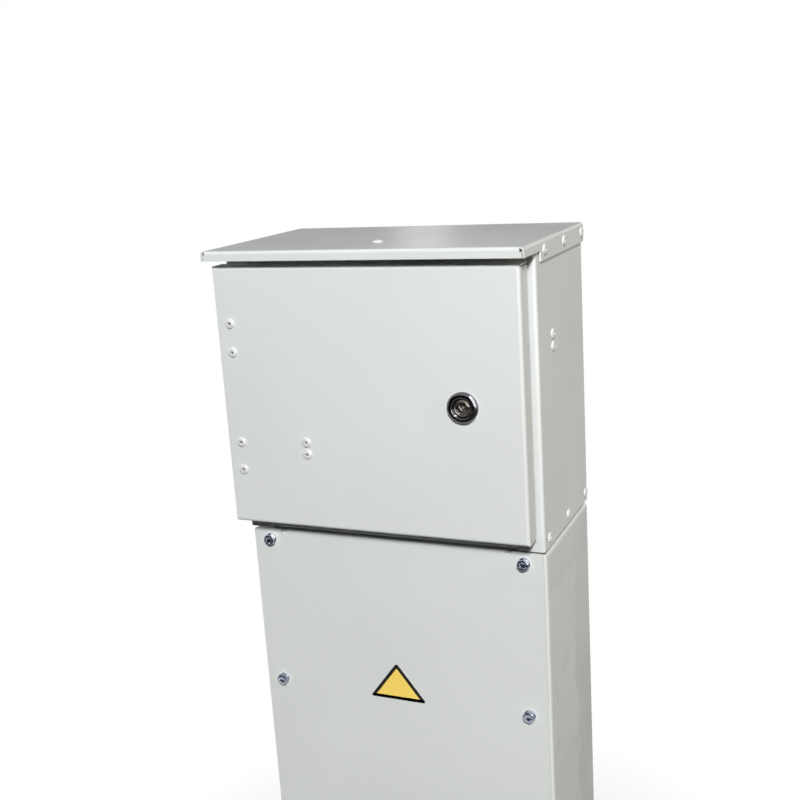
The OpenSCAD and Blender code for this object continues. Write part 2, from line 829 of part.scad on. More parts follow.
module bar_screws(z) {
    color(zinc) {
        for (x = bar_hole_xs)
            translate([x, bar_mid_y - bar_t / 2, z + bar_h / 2])
                pan_screw(bar_screw_d, bar_screw_head_d, bar_screw_head_h, bar_h / 4);
        for (s = [-1, 1])
            translate([s * bar_foot_x, bar_mid_y - bar_t, z]) to_front()
                pan_screw(bar_screw_d, bar_screw_head_d, bar_screw_head_h, bar_t + foot_d / 2 - cut);
    }
}

module neutral_bar() {
    terminal_bar(neutral_z);
}

module neutral_feet() {
    bar_feet(neutral_z, neutral_blue);
}

module neutral_screws() {
    bar_screws(neutral_z);
}

module earth_bar() {
    terminal_bar(earth_z);
}

module earth_feet() {
    bar_feet(earth_z, zinc);
}

module earth_screws() {
    bar_screws(earth_z);
}

// Hinge leaf fixed to the frame: a tall foot, and an arm with the middle knuckle
module body_leaf(z) {
    color(zinc) difference() {
        union() {
            along_z(z - knuckle_h / 2, z + knuckle_h / 2) {
                translate([hinge_x, hinge_y]) circle(eye_r);
                translate([foot_x, frame_y]) mirror([0, 1])
                    bent_leg(foot_reach, frame_y - hinge_y, bend_r, leaf_t);
            }
            along_z(z - hinge_h / 2, z + hinge_h / 2) translate([foot_x + bend_r, frame_y - leaf_t])
                square([foot_reach - bend_r, leaf_t]);
        }
        hinge_bore(z);
        body_leaf_holes(frame_y - leaf_t);
    }
}

module hinge_bore(z) {
    translate([hinge_x, hinge_y, z])
        cylinder(d = hinge_pin_d + 2 * run_gap, h = hinge_h + 2 * cut, center = true);
}

module body_leaf_holes(y) {
    for (z = hinge_zs, s = [-1, 1])
        translate([foot_rivet_x, y, z + s * foot_rivet_pitch / 2]) rotate([90, 0, 0])
            cylinder(d = rivet_hole_d, h = 6 * sheet, center = true);
}

module upper_body_leaf() {
    body_leaf(hinge_zs[1]);
}

module lower_body_leaf() {
    body_leaf(hinge_zs[0]);
}

module body_leaf_rivets() {
    color(zinc) for (z = hinge_zs, s = [-1, 1])
        translate([foot_rivet_x, frame_y - leaf_t, z + s * foot_rivet_pitch / 2]) to_front()
            rivet(leaf_t + sheet);
}

// Hinge leaf riveted inside the door, with the two outer knuckles
module door_leaf(z) {
    color(zinc) difference() {
        along_z(z - hinge_h / 2, z + hinge_h / 2) {
            translate([hinge_x, hinge_y]) circle(eye_r);
            translate([hinge_x, door_inner_y]) square([leaf_reach, leaf_t]);
        }
        hinge_bore(z);
        translate([hinge_x, hinge_y, z])
            cylinder(r = eye_r + knuckle_gap, h = knuckle_h + 2 * knuckle_gap, center = true);
        door_leaf_holes();
    }
}

module door_leaf_holes() {
    for (z = hinge_zs, s = [-1, 1])
        translate([leaf_rivet_x, door_face_y, z + s * leaf_rivet_pitch / 2]) rotate([90, 0, 0])
            cylinder(d = rivet_hole_d, h = 4 * (sheet + leaf_t), center = true);
}

module upper_door_leaf() {
    door_leaf(hinge_zs[1]);
}

module lower_door_leaf() {
    door_leaf(hinge_zs[0]);
}

module door_leaf_rivets() {
    color(paint) for (z = hinge_zs, s = [-1, 1])
        translate([leaf_rivet_x, door_face_y, z + s * leaf_rivet_pitch / 2]) to_front()
            rivet(sheet + leaf_t);
}

// Headed pins that hang in the knuckles
module hinge_pins() {
    color(zinc) for (z = hinge_zs) translate([hinge_x, hinge_y, z]) {
        translate([0, 0, -hinge_h / 2]) cylinder(d = hinge_pin_d, h = hinge_h + pin_head_h);
        translate([0, 0, hinge_h / 2 + run_gap]) cylinder(d = pin_head_d, h = pin_head_h);
    }
}

// Folded door pan, with its edge notched for the hinge arms
module door() {
    notch_h = knuckle_h + 2 * notch_gap;
    slit_zs = [door_bottom_z + sheet, door_top_z - sheet - corner_slit];
    color(paint) translate([door_mid_x, door_face_y, door_mid_z]) difference() {
        round_pan(door_w, door_h, door_return, bend_r);
        translate([0, sheet, 0])
            round_pan(door_w - 2 * sheet, door_h - 2 * sheet, door_return, bend_r - sheet);
        translate([-door_mid_x, -door_face_y, -door_mid_z]) {
            for (z = hinge_zs)
                translate([door_left_x - cut, door_face_y + bend_r, z - notch_h / 2])
                    cube([sheet + 2 * cut, door_return, notch_h]);
            for (x = [door_left_x, door_left_x + door_w - sheet], z = slit_zs)
                translate([x - cut, door_face_y + bend_r, z])
                    cube([sheet + 2 * cut, door_return, corner_slit]);
            door_leaf_holes();
            stud_bracket_holes();
            translate([lock_x, door_face_y, lock_z]) rotate([90, 0, 0])
                cylinder(d = lock_barrel_d + 2 * run_gap, h = 4 * sheet, center = true);
        }
    }
}

// Foam ring on the door's inner face that meets the rain lips
module door_gasket() {
    ring_w = 2 * opening_half + sheet;
    ring_h = lintel_z - sill_z + sheet;
    mid_z = (lintel_z + sill_z) / 2;
    color(foam) along_y(door_inner_y, door_inner_y + gasket_t) translate([0, mid_z]) difference() {
        round_plate(ring_w + gasket_w, ring_h + gasket_w, gasket_w / 2);
        square([ring_w - gasket_w, ring_h - gasket_w], center = true);
    }
}

stud_bracket_zs = [stud_bracket_z - stud_bracket_pitch / 2, stud_bracket_z + stud_bracket_pitch / 2];
stud_y = door_inner_y + stud_depth;

module stud_bracket_holes() {
    for (z = stud_bracket_zs)
        translate([stud_bracket_x, door_face_y, z]) rotate([90, 0, 0])
            cylinder(d = rivet_hole_d, h = 4 * (sheet + stud_bracket_t), center = true);
}

// Small angle inside the door for its earthing stud
module door_bracket() {
    color(zinc) difference() {
        along_z(stud_bracket_z - stud_bracket_h / 2, stud_bracket_z + stud_bracket_h / 2)
            translate([stud_bracket_x - stud_bracket_w / 2, door_inner_y])
                bent_leg(stud_bracket_w, stud_bracket_depth, bend_r, stud_bracket_t);
        stud_bracket_holes();
        translate([stud_bracket_x - stud_bracket_w / 2, stud_y, stud_bracket_z]) rotate([0, 90, 0])
            cylinder(d = stud_d + 2 * run_gap, h = 4 * stud_bracket_t, center = true);
    }
}

module door_bracket_rivets() {
    color(paint) for (z = stud_bracket_zs)
        translate([stud_bracket_x, door_face_y, z]) to_front() rivet(sheet + stud_bracket_t);
}

module earth_stud() {
    color(brass) translate([stud_bracket_x - stud_bracket_w / 2, stud_y, stud_bracket_z]) rotate([0, -90, 0])
        hex_bolt(stud_d, stud_flats, cover_head_h, stud_bracket_w);
}

module earth_nut() {
    color(brass) translate([stud_bracket_x - stud_bracket_w / 2 + stud_bracket_t, stud_y, stud_bracket_z])
        rotate([0, 90, 0]) hex_nut(stud_d, stud_flats, cover_nut_h);
}

// Places what is drawn along the lock's axis: +Z points out of the door from its face
module at_lock() {
    translate([lock_x, door_face_y, lock_z]) to_front() children();
}

// Turned housing: domed ring outside the door, plain barrel inside
module lock_housing() {
    ring_r = lock_ring_d / 2;
    mouth_r = lock_mouth_d / 2;
    bore_r = lock_bore_d / 2;
    dome_x = (ring_r + mouth_r) / 2;
    color(chrome) at_lock() rotate_extrude() {
        intersection() {
            translate([dome_x, lock_ring_h - lock_dome_r]) circle(lock_dome_r);
            translate([mouth_r, 0]) square([ring_r - mouth_r, lock_ring_h]);
        }
        translate([bore_r, -lock_barrel_len])
            square([lock_barrel_d / 2 - bore_r, lock_barrel_len + lock_ring_h - lock_plug_sink]);
    }
}

module lock_nut() {
    color(zinc) at_lock() translate([0, 0, -sheet - lock_nut_h]) difference() {
        hex(lock_nut_flats, lock_nut_h);
        translate([0, 0, -cut]) cylinder(d = lock_barrel_d + 2 * run_gap, h = lock_nut_h + 2 * cut);
    }
}

// Turning insert: a key well with a centre pin and two bit slots, and a square for the cam
module lock_cylinder() {
    face_z = lock_ring_h - lock_plug_sink;
    color(chrome) at_lock() difference() {
        union() {
            translate([0, 0, cam_z]) cylinder(d = lock_bore_d - 2 * lock_bore_gap, h = face_z - cam_z);
            translate([-lock_square / 2, -lock_square / 2, cam_z - cam_t])
                cube([lock_square, lock_square, cam_t + cut]);
        }
        difference() {
            union() {
                translate([0, 0, face_z - key_well_h]) cylinder(d = key_well_d, h = key_well_h + cut);
                translate([-key_bit_len / 2, -key_bit_w / 2, face_z - key_well_h])
                    cube([key_bit_len, key_bit_w, key_well_h + cut]);
            }
            translate([0, 0, face_z - key_well_h - cut]) cylinder(d = key_pin_d, h = key_well_h + cut / 2);
        }
        translate([0, 0, cam_z - cam_t - cut])
            cylinder(d = cam_screw_d + 2 * run_gap, h = cam_screw_len + cut);
    }
}

// Cam at rest hanging down, clear of the frame
module lock_cam() {
    hole = lock_square + 2 * run_gap;
    color(zinc) at_lock() translate([0, 0, cam_z - cam_t]) linear_extrude(cam_t) difference() {
        union() {
            circle(cam_hub_r);
            translate([-cam_tip_r, -cam_len + cam_tip_r]) square([2 * cam_tip_r, cam_len - cam_tip_r]);
            translate([0, -cam_len + cam_tip_r]) circle(cam_tip_r);
        }
        square([hole, hole], center = true);
    }
}

module cam_screw() {
    color(zinc) at_lock() translate([0, 0, cam_z - cam_t]) rotate([180, 0, 0])
        pan_screw(cam_screw_d, cam_screw_head_d, cam_screw_head_h, cam_screw_len - cut);
}

// Plinth folded from sheet, open in front behind the cover, above for cables and below to the ground
module plinth_shell() {
    t = plinth_sheet;
    top_hole = [plinth_w - 2 * plinth_top_flange, plinth_d - 2 * plinth_top_flange, 4 * t];
    base_hole = [plinth_w - 2 * base_flange, plinth_d - 2 * base_flange, 4 * t];
    opening_top_z = plinth_h - plinth_top_flange;
    opening_bottom_z = cover_bottom_z + 2 * cover_bolt_drop;
    color(paint) difference() {
        translate([0, plinth_mid_y, plinth_h / 2]) difference() {
            round_block(plinth_w, plinth_d, plinth_h, plinth_bend_r);
            round_block(plinth_w - 2 * t, plinth_d - 2 * t, plinth_h - 2 * t, plinth_inner_r);
            translate([0, 0, plinth_h / 2]) cube(top_hole, center = true);
            translate([0, 0, -plinth_h / 2]) cube(base_hole, center = true);
        }
        along_y(plinth_front_y - cut, plinth_front_y + t + cut)
            translate([-plinth_half + plinth_strip, opening_bottom_z])
                square([plinth_w - 2 * plinth_strip, opening_top_z - opening_bottom_z]);
        cover_bolt_holes(plinth_front_y);
        joint_holes(plinth_h - t);
        for (x = anchor_xs, y = anchor_ys)
            translate([x, y, -cut]) cylinder(d = anchor_d, h = t + 2 * cut);
    }
}

anchor_xs = [-(plinth_half - anchor_inset_x), plinth_half - anchor_inset_x];
anchor_ys = [plinth_front_y + anchor_inset_y, back_y - anchor_inset_y];

module cover_bolt_holes(y) {
    for (s = [-1, 1], z = cover_bolt_zs)
        translate([s * cover_bolt_x, y, z]) rotate([90, 0, 0])
            cylinder(d = cover_hole_d, h = 4 * (plinth_sheet + cover_t), center = true);
}

module joint_holes(z) {
    for (x = joint_xs, y = joint_ys)
        translate([x, y, z - cut])
            cylinder(d = joint_bolt_d + 2 * run_gap, h = 2 * (sheet + cut) + plinth_sheet);
}

// Flat cover whose upper edge is folded back between two relief notches
module front_cover() {
    fold_half = cover_half - cover_flange_end;
    notch_half = fold_half + cover_notch_w;
    color(paint) difference() {
        union() {
            along_y(cover_face_y, cover_face_y + cover_t) difference() {
                translate([0, cover_top_z - cover_h / 2])
                    round_plate(2 * cover_half, cover_h, cover_corner_r);
                translate([-notch_half, cover_top_z - cover_notch_h])
                    square([2 * notch_half, cover_notch_h + cut]);
            }
            along_x(-fold_half, fold_half) translate([cover_face_y, cover_top_z]) mirror([0, 1])
                bent_leg(cover_flange, cover_notch_h + cut, bend_r, cover_t);
        }
        cover_bolt_holes(cover_face_y);
    }
}

module cover_bolts() {
    len = cover_washer_t + cover_t + plinth_sheet + cover_nut_h + thread_spare;
    color(zinc) for (s = [-1, 1], z = cover_bolt_zs)
        translate([s * cover_bolt_x, cover_face_y - cover_washer_t, z]) to_front()
            hex_bolt(cover_bolt_d, cover_bolt_flats, cover_head_h, len);
}

module cover_washers() {
    color(zinc) for (s = [-1, 1], z = cover_bolt_zs)
        translate([s * cover_bolt_x, cover_face_y, z]) to_front() difference() {
            cylinder(d = cover_washer_d, h = cover_washer_t);
            translate([0, 0, -cut]) cylinder(d = cover_bolt_d + 2 * run_gap, h = cover_washer_t + 2 * cut);
        }
}

module cover_nuts() {
    color(zinc) for (s = [-1, 1], z = cover_bolt_zs)
        translate([s * cover_bolt_x, plinth_front_y + plinth_sheet, z]) rotate([-90, 0, 0])
            hex_nut(cover_bolt_d, cover_bolt_flats, cover_nut_h);
}

// Spacers that leave room for the cover's folded edge under the body
module joint_spacers() {
    color(rubber) for (x = joint_xs, y = joint_ys)
        translate([x, y, plinth_h]) difference() {
            cylinder(d = joint_washer_d, h = joint_gap);
            translate([0, 0, -cut]) cylinder(d = joint_bolt_d + 2 * run_gap, h = joint_gap + 2 * cut);
        }
}

module joint_bolts() {
    len = sheet + joint_gap + plinth_sheet + joint_nut_h + thread_spare;
    color(zinc) for (x = joint_xs, y = joint_ys)
        translate([x, y, floor_z + sheet]) hex_bolt(joint_bolt_d, joint_flats, joint_head_h, len);
}

module joint_nuts() {
    color(zinc) for (x = joint_xs, y = joint_ys)
        translate([x, y, plinth_h - plinth_sheet - joint_nut_h])
            hex_nut(joint_bolt_d, joint_flats, joint_nut_h);
}

// Channel across the plinth that the cables are clamped to
module cable_rail() {
    half = plinth_half - plinth_sheet - nest_gap;
    color(zinc) along_x(-half, half) translate([plinth_mid_y - cable_rail_d / 2, cable_rail_z]) difference() {
        translate([0, -cable_rail_h / 2]) square([cable_rail_d, cable_rail_h]);
        translate([cable_rail_t, -cable_rail_h / 2 + cable_rail_t])
            square([cable_rail_d - 2 * cable_rail_t, cable_rail_h - 2 * cable_rail_t]);
        translate([-cut, -cable_rail_h / 2 + cable_rail_lip])
            square([cable_rail_t + 2 * cut, cable_rail_h - 2 * cable_rail_lip]);
    }
}

body_shell();
roof();
head_rail();
floor_plate();
floor_grommets();
roof_rivets();
floor_rivets();
bracket_rivets();
rail_bracket_left();
rail_bracket_right();
din_rail();
rail_screws();
rail_nuts();
main_switch();
breaker(1);  // breaker_1
breaker(2);  // breaker_2
breaker(3);  // breaker_3
neutral_bar();
neutral_feet();
neutral_screws();
earth_bar();
earth_feet();
earth_screws();
upper_body_leaf();
lower_body_leaf();
body_leaf_rivets();
hinge_pins();
plinth_shell();
front_cover();
cover_bolts();
cover_washers();
cover_nuts();
joint_spacers();
joint_bolts();
joint_nuts();
cable_rail();
door();
door_gasket();
upper_door_leaf();
lower_door_leaf();
door_leaf_rivets();
door_bracket();
door_bracket_rivets();
earth_stud();
earth_nut();
lock_housing();
lock_nut();
lock_cylinder();
lock_cam();
cam_screw();
main_toggle();
breaker_toggle(1);  // breaker_toggle_1
breaker_toggle(2);  // breaker_toggle_2
breaker_toggle(3);  // breaker_toggle_3
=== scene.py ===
"""Looks of a free-standing electrical distribution box.

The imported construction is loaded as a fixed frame. Each sub-assembly below dresses its own solids
with procedural finishes, and models the turned and hexagonal fasteners, the lock's ring, the door's
seal and the plate on the cover as meshes of their own.
"""

import logging
import math
from dataclasses import dataclass, field
from enum import Enum
from functools import cache
from typing import Iterable, Sequence

import bmesh
import bpy
from mathutils import Matrix, Vector


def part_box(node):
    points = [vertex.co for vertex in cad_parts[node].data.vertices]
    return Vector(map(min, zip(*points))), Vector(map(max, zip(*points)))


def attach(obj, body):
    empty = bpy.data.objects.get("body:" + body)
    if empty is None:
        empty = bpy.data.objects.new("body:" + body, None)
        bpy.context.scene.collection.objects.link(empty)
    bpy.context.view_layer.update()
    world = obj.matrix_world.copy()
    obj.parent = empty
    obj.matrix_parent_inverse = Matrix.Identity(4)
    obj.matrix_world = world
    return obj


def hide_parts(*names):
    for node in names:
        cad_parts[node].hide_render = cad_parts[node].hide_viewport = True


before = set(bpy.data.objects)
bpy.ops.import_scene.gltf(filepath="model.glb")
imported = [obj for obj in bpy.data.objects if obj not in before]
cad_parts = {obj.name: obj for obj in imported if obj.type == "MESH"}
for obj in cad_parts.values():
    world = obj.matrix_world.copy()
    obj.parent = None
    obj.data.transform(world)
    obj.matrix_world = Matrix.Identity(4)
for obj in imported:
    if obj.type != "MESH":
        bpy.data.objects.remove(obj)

LOG = logging.getLogger("distribution_box")
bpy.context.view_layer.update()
MM = 0.001
WELD_DISTANCE = 1e-6
SMOOTH_ANGLE = math.radians(32)
TURN_STEPS = 48
SORT_DIGITS = 4
RIM_SHARE = 0.9
NOISE_LOW, NOISE_HIGH = 0.3, 0.7
LEAST_ROUGHNESS = 0.02

Rgb = tuple[int, int, int]
Rgba = tuple[float, float, float, float]
Pair = tuple[float, float]
Triple = tuple[float, float, float]
Profile = Sequence[Pair]
Faces = list[bmesh.types.BMFace]
Socket = bpy.types.NodeSocket
Material = bpy.types.Material

FRONT: Triple = (0.0, -1.0, 0.0)
WHITE: Rgba = (1.0, 1.0, 1.0, 1.0)


class Body(Enum):
    """Bodies of the frame that new pieces ride on."""

    CABINET = "cabinet"
    DOOR = "door"


class Slot(Enum):
    """Material slots of the record."""

    PAINT = "paint"
    RIVET = "rivet"
    ZINC = "zinc"
    CHROME = "chrome"
    FOAM = "foam"


def linear(rgb: Rgb) -> Rgba:
    """Turns a colour as seen on a screen into the shader's linear colour.

    Args:
        rgb: Red, green and blue from 0 to 255.

    Returns:
        Linear red, green and blue, and an alpha of 1.
    """
    def channel(value: int) -> float:
        """One channel of the screen's curve."""
        share = value / 255
        return share / 12.92 if share <= 0.04045 else ((share + 0.055) / 1.055) ** 2.4

    return (*(channel(value) for value in rgb), 1.0)


def shaded(rgb: Rgb, amount: float) -> Rgba:
    """A linear colour made lighter or darker by a factor."""
    return (*(min(1.0, value * amount) for value in linear(rgb)[:3]), 1.0)


@dataclass(frozen=True)
class Grain:
    """How fine a noise is: patches a metre, and octaves."""

    scale: float
    detail: float = 2.0


class NodeGraph:
    """A material's node tree, with the nodes that the finishes share."""

    MIX_A, MIX_B, MIX_RESULT = 6, 7, 2

    def __init__(self, name: str) -> None:
        """Starts a material.

        Args:
            name: The material's name.
        """
        self.material = bpy.data.materials.new(name)
        self.material.use_nodes = True
        self.tree = self.material.node_tree
        self.shader = self.tree.nodes["Principled BSDF"]
        self.position = self.add("ShaderNodeTexCoord").outputs["Object"]

    def add(self, kind: str) -> bpy.types.Node:
        """Adds a node of a kind."""
        return self.tree.nodes.new(kind)

    def link(self, source: Socket, target: Socket) -> None:
        """Joins two sockets."""
        self.tree.links.new(source, target)

    def feed(self, name: str, source: Socket) -> None:
        """Feeds one of the shader's sockets."""
        self.link(source, self.shader.inputs[name])

    def fixed(self, **values: float) -> None:
        """Sets constants on the shader's own sockets, named with underscores for spaces."""
        for name, value in values.items():
            self.shader.inputs[name.replace("_", " ")].default_value = value

    def placed(self, kind: str, at: Socket | None = None) -> bpy.types.Node:
        """Adds a node that reads a position.

        Args:
            kind: The node's kind.
            at: The position, if not the plain object coordinates.

        Returns:
            The node.
        """
        node = self.add(kind)
        self.link(at or self.position, node.inputs["Vector"])
        return node

    def component(self, axis: str) -> Socket:
        """One of the object coordinates, by the letter X, Y or Z."""
        return self.placed("ShaderNodeSeparateXYZ").outputs[axis]

    def stretched(self, scale: Triple) -> Socket:
        """Scales the object coordinates along each axis.

        Args:
            scale: Factors along X, Y and Z.

        Returns:
            The scaled position.
        """
        node = self.placed("ShaderNodeMapping")
        node.inputs["Scale"].default_value = scale
        return node.outputs["Vector"]

    def noise(self, grain: Grain, at: Socket | None = None) -> Socket:
        """Makes noise over the object's own coordinates.

        Args:
            grain: How fine it is.
            at: The position, if not the plain object coordinates.

        Returns:
            The noise, from 0 to 1.
        """
        node = self.placed("ShaderNodeTexNoise", at)
        node.inputs["Scale"].default_value = grain.scale
        node.inputs["Detail"].default_value = grain.detail
        return node.outputs[0]

    def cells(self, scale: float) -> Socket:
        """Measures the distance to the nearest of many scattered points.

        Args:
            scale: Points a metre.

        Returns:
            The distance, in spacings.
        """
        node = self.placed("ShaderNodeTexVoronoi")
        node.inputs["Scale"].default_value = scale
        return node.outputs["Distance"]

    def ranged(self, value: Socket, low: float, high: float, to_low: float,
               to_high: float) -> Socket:
        """Maps a range of values onto another, clamped.

        Args:
            value: What is mapped.
            low: Start of the range read.
            high: End of the range read.
            to_low: Result at the start.
            to_high: Result at the end.

        Returns:
            The mapped value.
        """
        node = self.add("ShaderNodeMapRange")
        names = ("From Min", "From Max", "To Min", "To Max")
        for name, number in zip(names, (low, high, to_low, to_high)):
            node.inputs[name].default_value = number
        self.link(value, node.inputs["Value"])
        return node.outputs["Result"]

    def clouded(self, grain: Grain, to_low: float, to_high: float) -> Socket:
        """Noise whose usual range is mapped onto another."""
        return self.ranged(self.noise(grain), NOISE_LOW, NOISE_HIGH, to_low, to_high)

    def combined(self, operation: str, first: Socket, second: Socket) -> Socket:
        """Joins two values by an arithmetic operation.

        Args:
            operation: The operation's name.
            first: Its first value.
            second: Its second value.

        Returns:
            The result.
        """
        node = self.add("ShaderNodeMath")
        node.operation = operation
        self.link(first, node.inputs[0])
        self.link(second, node.inputs[1])
        return node.outputs["Value"]

    def vector(self, operation: str, source: Socket, other: Triple | None = None) -> bpy.types.Node:
        """Adds an operation on a vector.

        Args:
            operation: The operation's name.
            source: The vector it works on.
            other: A fixed second vector, if it takes one.

        Returns:
            The node, with the outputs Vector and Value.
        """
        node = self.add("ShaderNodeVectorMath")
        node.operation = operation
        self.link(source, node.inputs[0])
        if other is not None:
            node.inputs[1].default_value = other
        return node

    def mixed(self, factor: Socket, first: Socket | Rgba, second: Socket | Rgba) -> Socket:
        """Blends two colours.

        Args:
            factor: Share of the second colour.
            first: Colour or its socket where the factor is 0.
            second: Colour or its socket where the factor is 1.

        Returns:
            The blended colour.
        """
        node = self.add("ShaderNodeMix")
        node.data_type = "RGBA"
        self.link(factor, node.inputs[0])
        for value, index in ((first, self.MIX_A), (second, self.MIX_B)):
            if isinstance(value, tuple):
                node.inputs[index].default_value = value
            else:
                self.link(value, node.inputs[index])
        return node.outputs[self.MIX_RESULT]

    def mottled(self, grain: Grain, tint: Rgb, shades: Pair) -> Socket:
        """Clouds of two shades of one tint."""
        dark, light = (shaded(tint, shade) for shade in shades)
        return self.mixed(self.clouded(grain, 0.0, 1.0), dark, light)

    def gloss(self, grain: Grain, roughness: float, spread: float) -> None:
        """Feeds the shader a roughness that varies by a spread to both sides."""
        smoothest = max(LEAST_ROUGHNESS, roughness - spread)
        self.feed("Roughness", self.clouded(grain, smoothest, roughness + spread))

    def bump(self, height: Socket, depth: float, strength: float = 1.0) -> None:
        """Lets a height field shade the surface.

        Args:
            height: The field, from 0 to 1.
            depth: Height in metres where the field is 1.
            strength: Share of the effect.
        """
        node = self.add("ShaderNodeBump")
        node.inputs["Distance"].default_value = depth
        node.inputs["Strength"].default_value = strength
        self.link(height, node.inputs["Height"])
        self.feed("Normal", node.outputs["Normal"])


@dataclass(frozen=True)
class DirtAndShadeFilm:
    """Thin dirt on a right-hand face, cleaned off below and in front of a ragged border, with
    painted shade deepening towards the bottom (metres).
    """

    face_x: Pair = (0.1492, 0.1496)
    border_y: float = 0.0355
    border_z: float = 0.381
    border_soft: float = 0.003
    border_grain: Grain = Grain(30.0, 3.0)
    wander: float = 0.011
    above_share: float = 0.64
    blot_grain: Grain = Grain(24.0)
    blot_edge: Pair = (0.585, 0.635)
    blot_share: float = 0.65
    # The next four set painted shade that darkens the face towards the bottom.
    full_z: float = 0.20
    faint_z: float = 0.40
    faint_share: float = 0.26
    low_shade_share: float = 0.40
    shade: float = 0.67

    def strength(self, graph: NodeGraph) -> Socket:
        """Works out how thick the film of dirt and painted shade lies.

        Args:
            graph: The material's node tree.

        Returns:
            Strength of the film, from 0 to 1.
        """
        height = graph.component("Z")
        ragged = graph.clouded(self.border_grain, -self.wander, self.wander)
        behind = graph.ranged(graph.combined("ADD", graph.component("Y"), ragged),
                              self.border_y, self.border_y + self.border_soft, 0.0, 1.0)
        above = graph.ranged(graph.combined("ADD", height, ragged),
                             self.border_z, self.border_z + self.border_soft,
                             0.0, self.above_share)
        blots = graph.ranged(graph.noise(self.blot_grain), *self.blot_edge, 0.0, self.blot_share)
        # Painted shade: the film is deeper towards the bottom.
        depth = graph.ranged(height, self.full_z, self.faint_z, 1.0, self.faint_share)
        # Painted shade: the patch in front of the border also darkens towards the bottom.
        painted_low_shade = graph.ranged(height, self.full_z, self.border_z, self.low_shade_share, 0.0)
        left = graph.combined("MAXIMUM", graph.combined("MAXIMUM", behind, above), blots)
        film = graph.combined("MAXIMUM", graph.combined("MULTIPLY", left, depth), painted_low_shade)
        face = graph.ranged(graph.component("X"), *self.face_x, 0.0, 1.0)
        return graph.combined("MULTIPLY", face, film)


@dataclass(frozen=True)
class PaintFinish:
    """Powder coat: a tint with slight mottle, a fine orange peel, and a film of dirt and painted
    shade if any.
    """

    name: str
    tint: Rgb
    roughness: float = 0.33
    specular: float = 0.5
    mottle: float = 0.02
    peel_depth: float = 0.00002
    film: DirtAndShadeFilm | None = None
    mottle_grain: Grain = Grain(9.0, 3.0)
    gloss_grain: Grain = Grain(14.0, 4.0)
    gloss_spread: float = 0.03
    peel_grain: Grain = Grain(650.0, 1.5)
    peel_share: float = 0.6

    def material(self) -> Material:
        """Makes the finish.

        Returns:
            The new material.
        """
        graph = NodeGraph(self.name)
        graph.fixed(Specular_IOR_Level=self.specular)
        colour = graph.mottled(self.mottle_grain, self.tint, (1 - self.mottle, 1 + self.mottle))
        if self.film is not None:
            # Where the film lies the coat darkens: real dirt, and painted shade towards the bottom.
            dirt_and_shade_colour = shaded(self.tint, self.film.shade)
            colour = graph.mixed(self.film.strength(graph), colour, dirt_and_shade_colour)
        graph.feed("Base Color", colour)
        graph.gloss(self.gloss_grain, self.roughness, self.gloss_spread)
        graph.bump(graph.noise(self.peel_grain), self.peel_depth, self.peel_share)
        return graph.material


@dataclass(frozen=True)
class MetalFinish:
    """Bare or plated metal, uneven in gloss, with fine drawn lines or the ridges of turning."""

    name: str
    tint: Rgb
    roughness: float
    gloss_spread: float = 0.06
    line_depth: float = 0.000004
    line_stretch: Triple = (1.0, 1.0, 8.0)
    turned_about: Pair | None = None
    ring_pitch: float = 0.0022
    ring_depth: float = 0.0004
    shades: Pair = (0.93, 1.04)
    shade_grain: Grain = Grain(120.0, 3.0)
    gloss_grain: Grain = Grain(260.0, 3.0)
    line_grain: Grain = Grain(900.0)
    line_share: float = 0.5

    def material(self) -> Material:
        """Makes the finish.

        Returns:
            The new material.
        """
        graph = NodeGraph(self.name)
        graph.fixed(Metallic=1.0)
        graph.feed("Base Color", graph.mottled(self.shade_grain, self.tint, self.shades))
        graph.gloss(self.gloss_grain, self.roughness, self.gloss_spread)
        if self.turned_about is None:
            lines = graph.noise(self.line_grain, graph.stretched(self.line_stretch))
            graph.bump(lines, self.line_depth, self.line_share)
        else:
            graph.bump(self.rings(graph), self.ring_depth)
        return graph.material

    def rings(self, graph: NodeGraph) -> Socket:
        """Makes the ridges left by turning round an axis along Y.

        Args:
            graph: The material's node tree.

        Returns:
            Height of the ridges, from 0 to 1.
        """
        x, z = self.turned_about
        offset = graph.vector("SUBTRACT", graph.position, (x, 0.0, z)).outputs["Vector"]
        across = graph.vector("MULTIPLY", offset, (1.0, 0.0, 1.0)).outputs["Vector"]
        wave = graph.add("ShaderNodeMath")
        wave.operation = "PINGPONG"
        wave.inputs[1].default_value = self.ring_pitch / 2
        graph.link(graph.vector("LENGTH", across).outputs["Value"], wave.inputs[0])
        return graph.ranged(wave.outputs["Value"], 0.0, self.ring_pitch / 2, 0.0, 1.0)


@dataclass(frozen=True)
class MouldedFinish:
    """Moulded plastic or rubber with a fine eroded grain."""

    name: str
    tint: Rgb
    roughness: float
    shades: Pair = (0.94, 1.05)
    shade_grain: Grain = Grain(40.0, 3.0)
    gloss_grain: Grain = Grain(90.0)
    gloss_spread: float = 0.05
    eroded_grain: Grain = Grain(1500.0)
    eroded_depth: float = 0.00003
    eroded_share: float = 0.5

    def material(self) -> Material:
        """Makes the finish.

        Returns:
            The new material.
        """
        graph = NodeGraph(self.name)
        graph.feed("Base Color", graph.mottled(self.shade_grain, self.tint, self.shades))
        graph.gloss(self.gloss_grain, self.roughness, self.gloss_spread)
        graph.bump(graph.noise(self.eroded_grain), self.eroded_depth, self.eroded_share)
        return graph.material


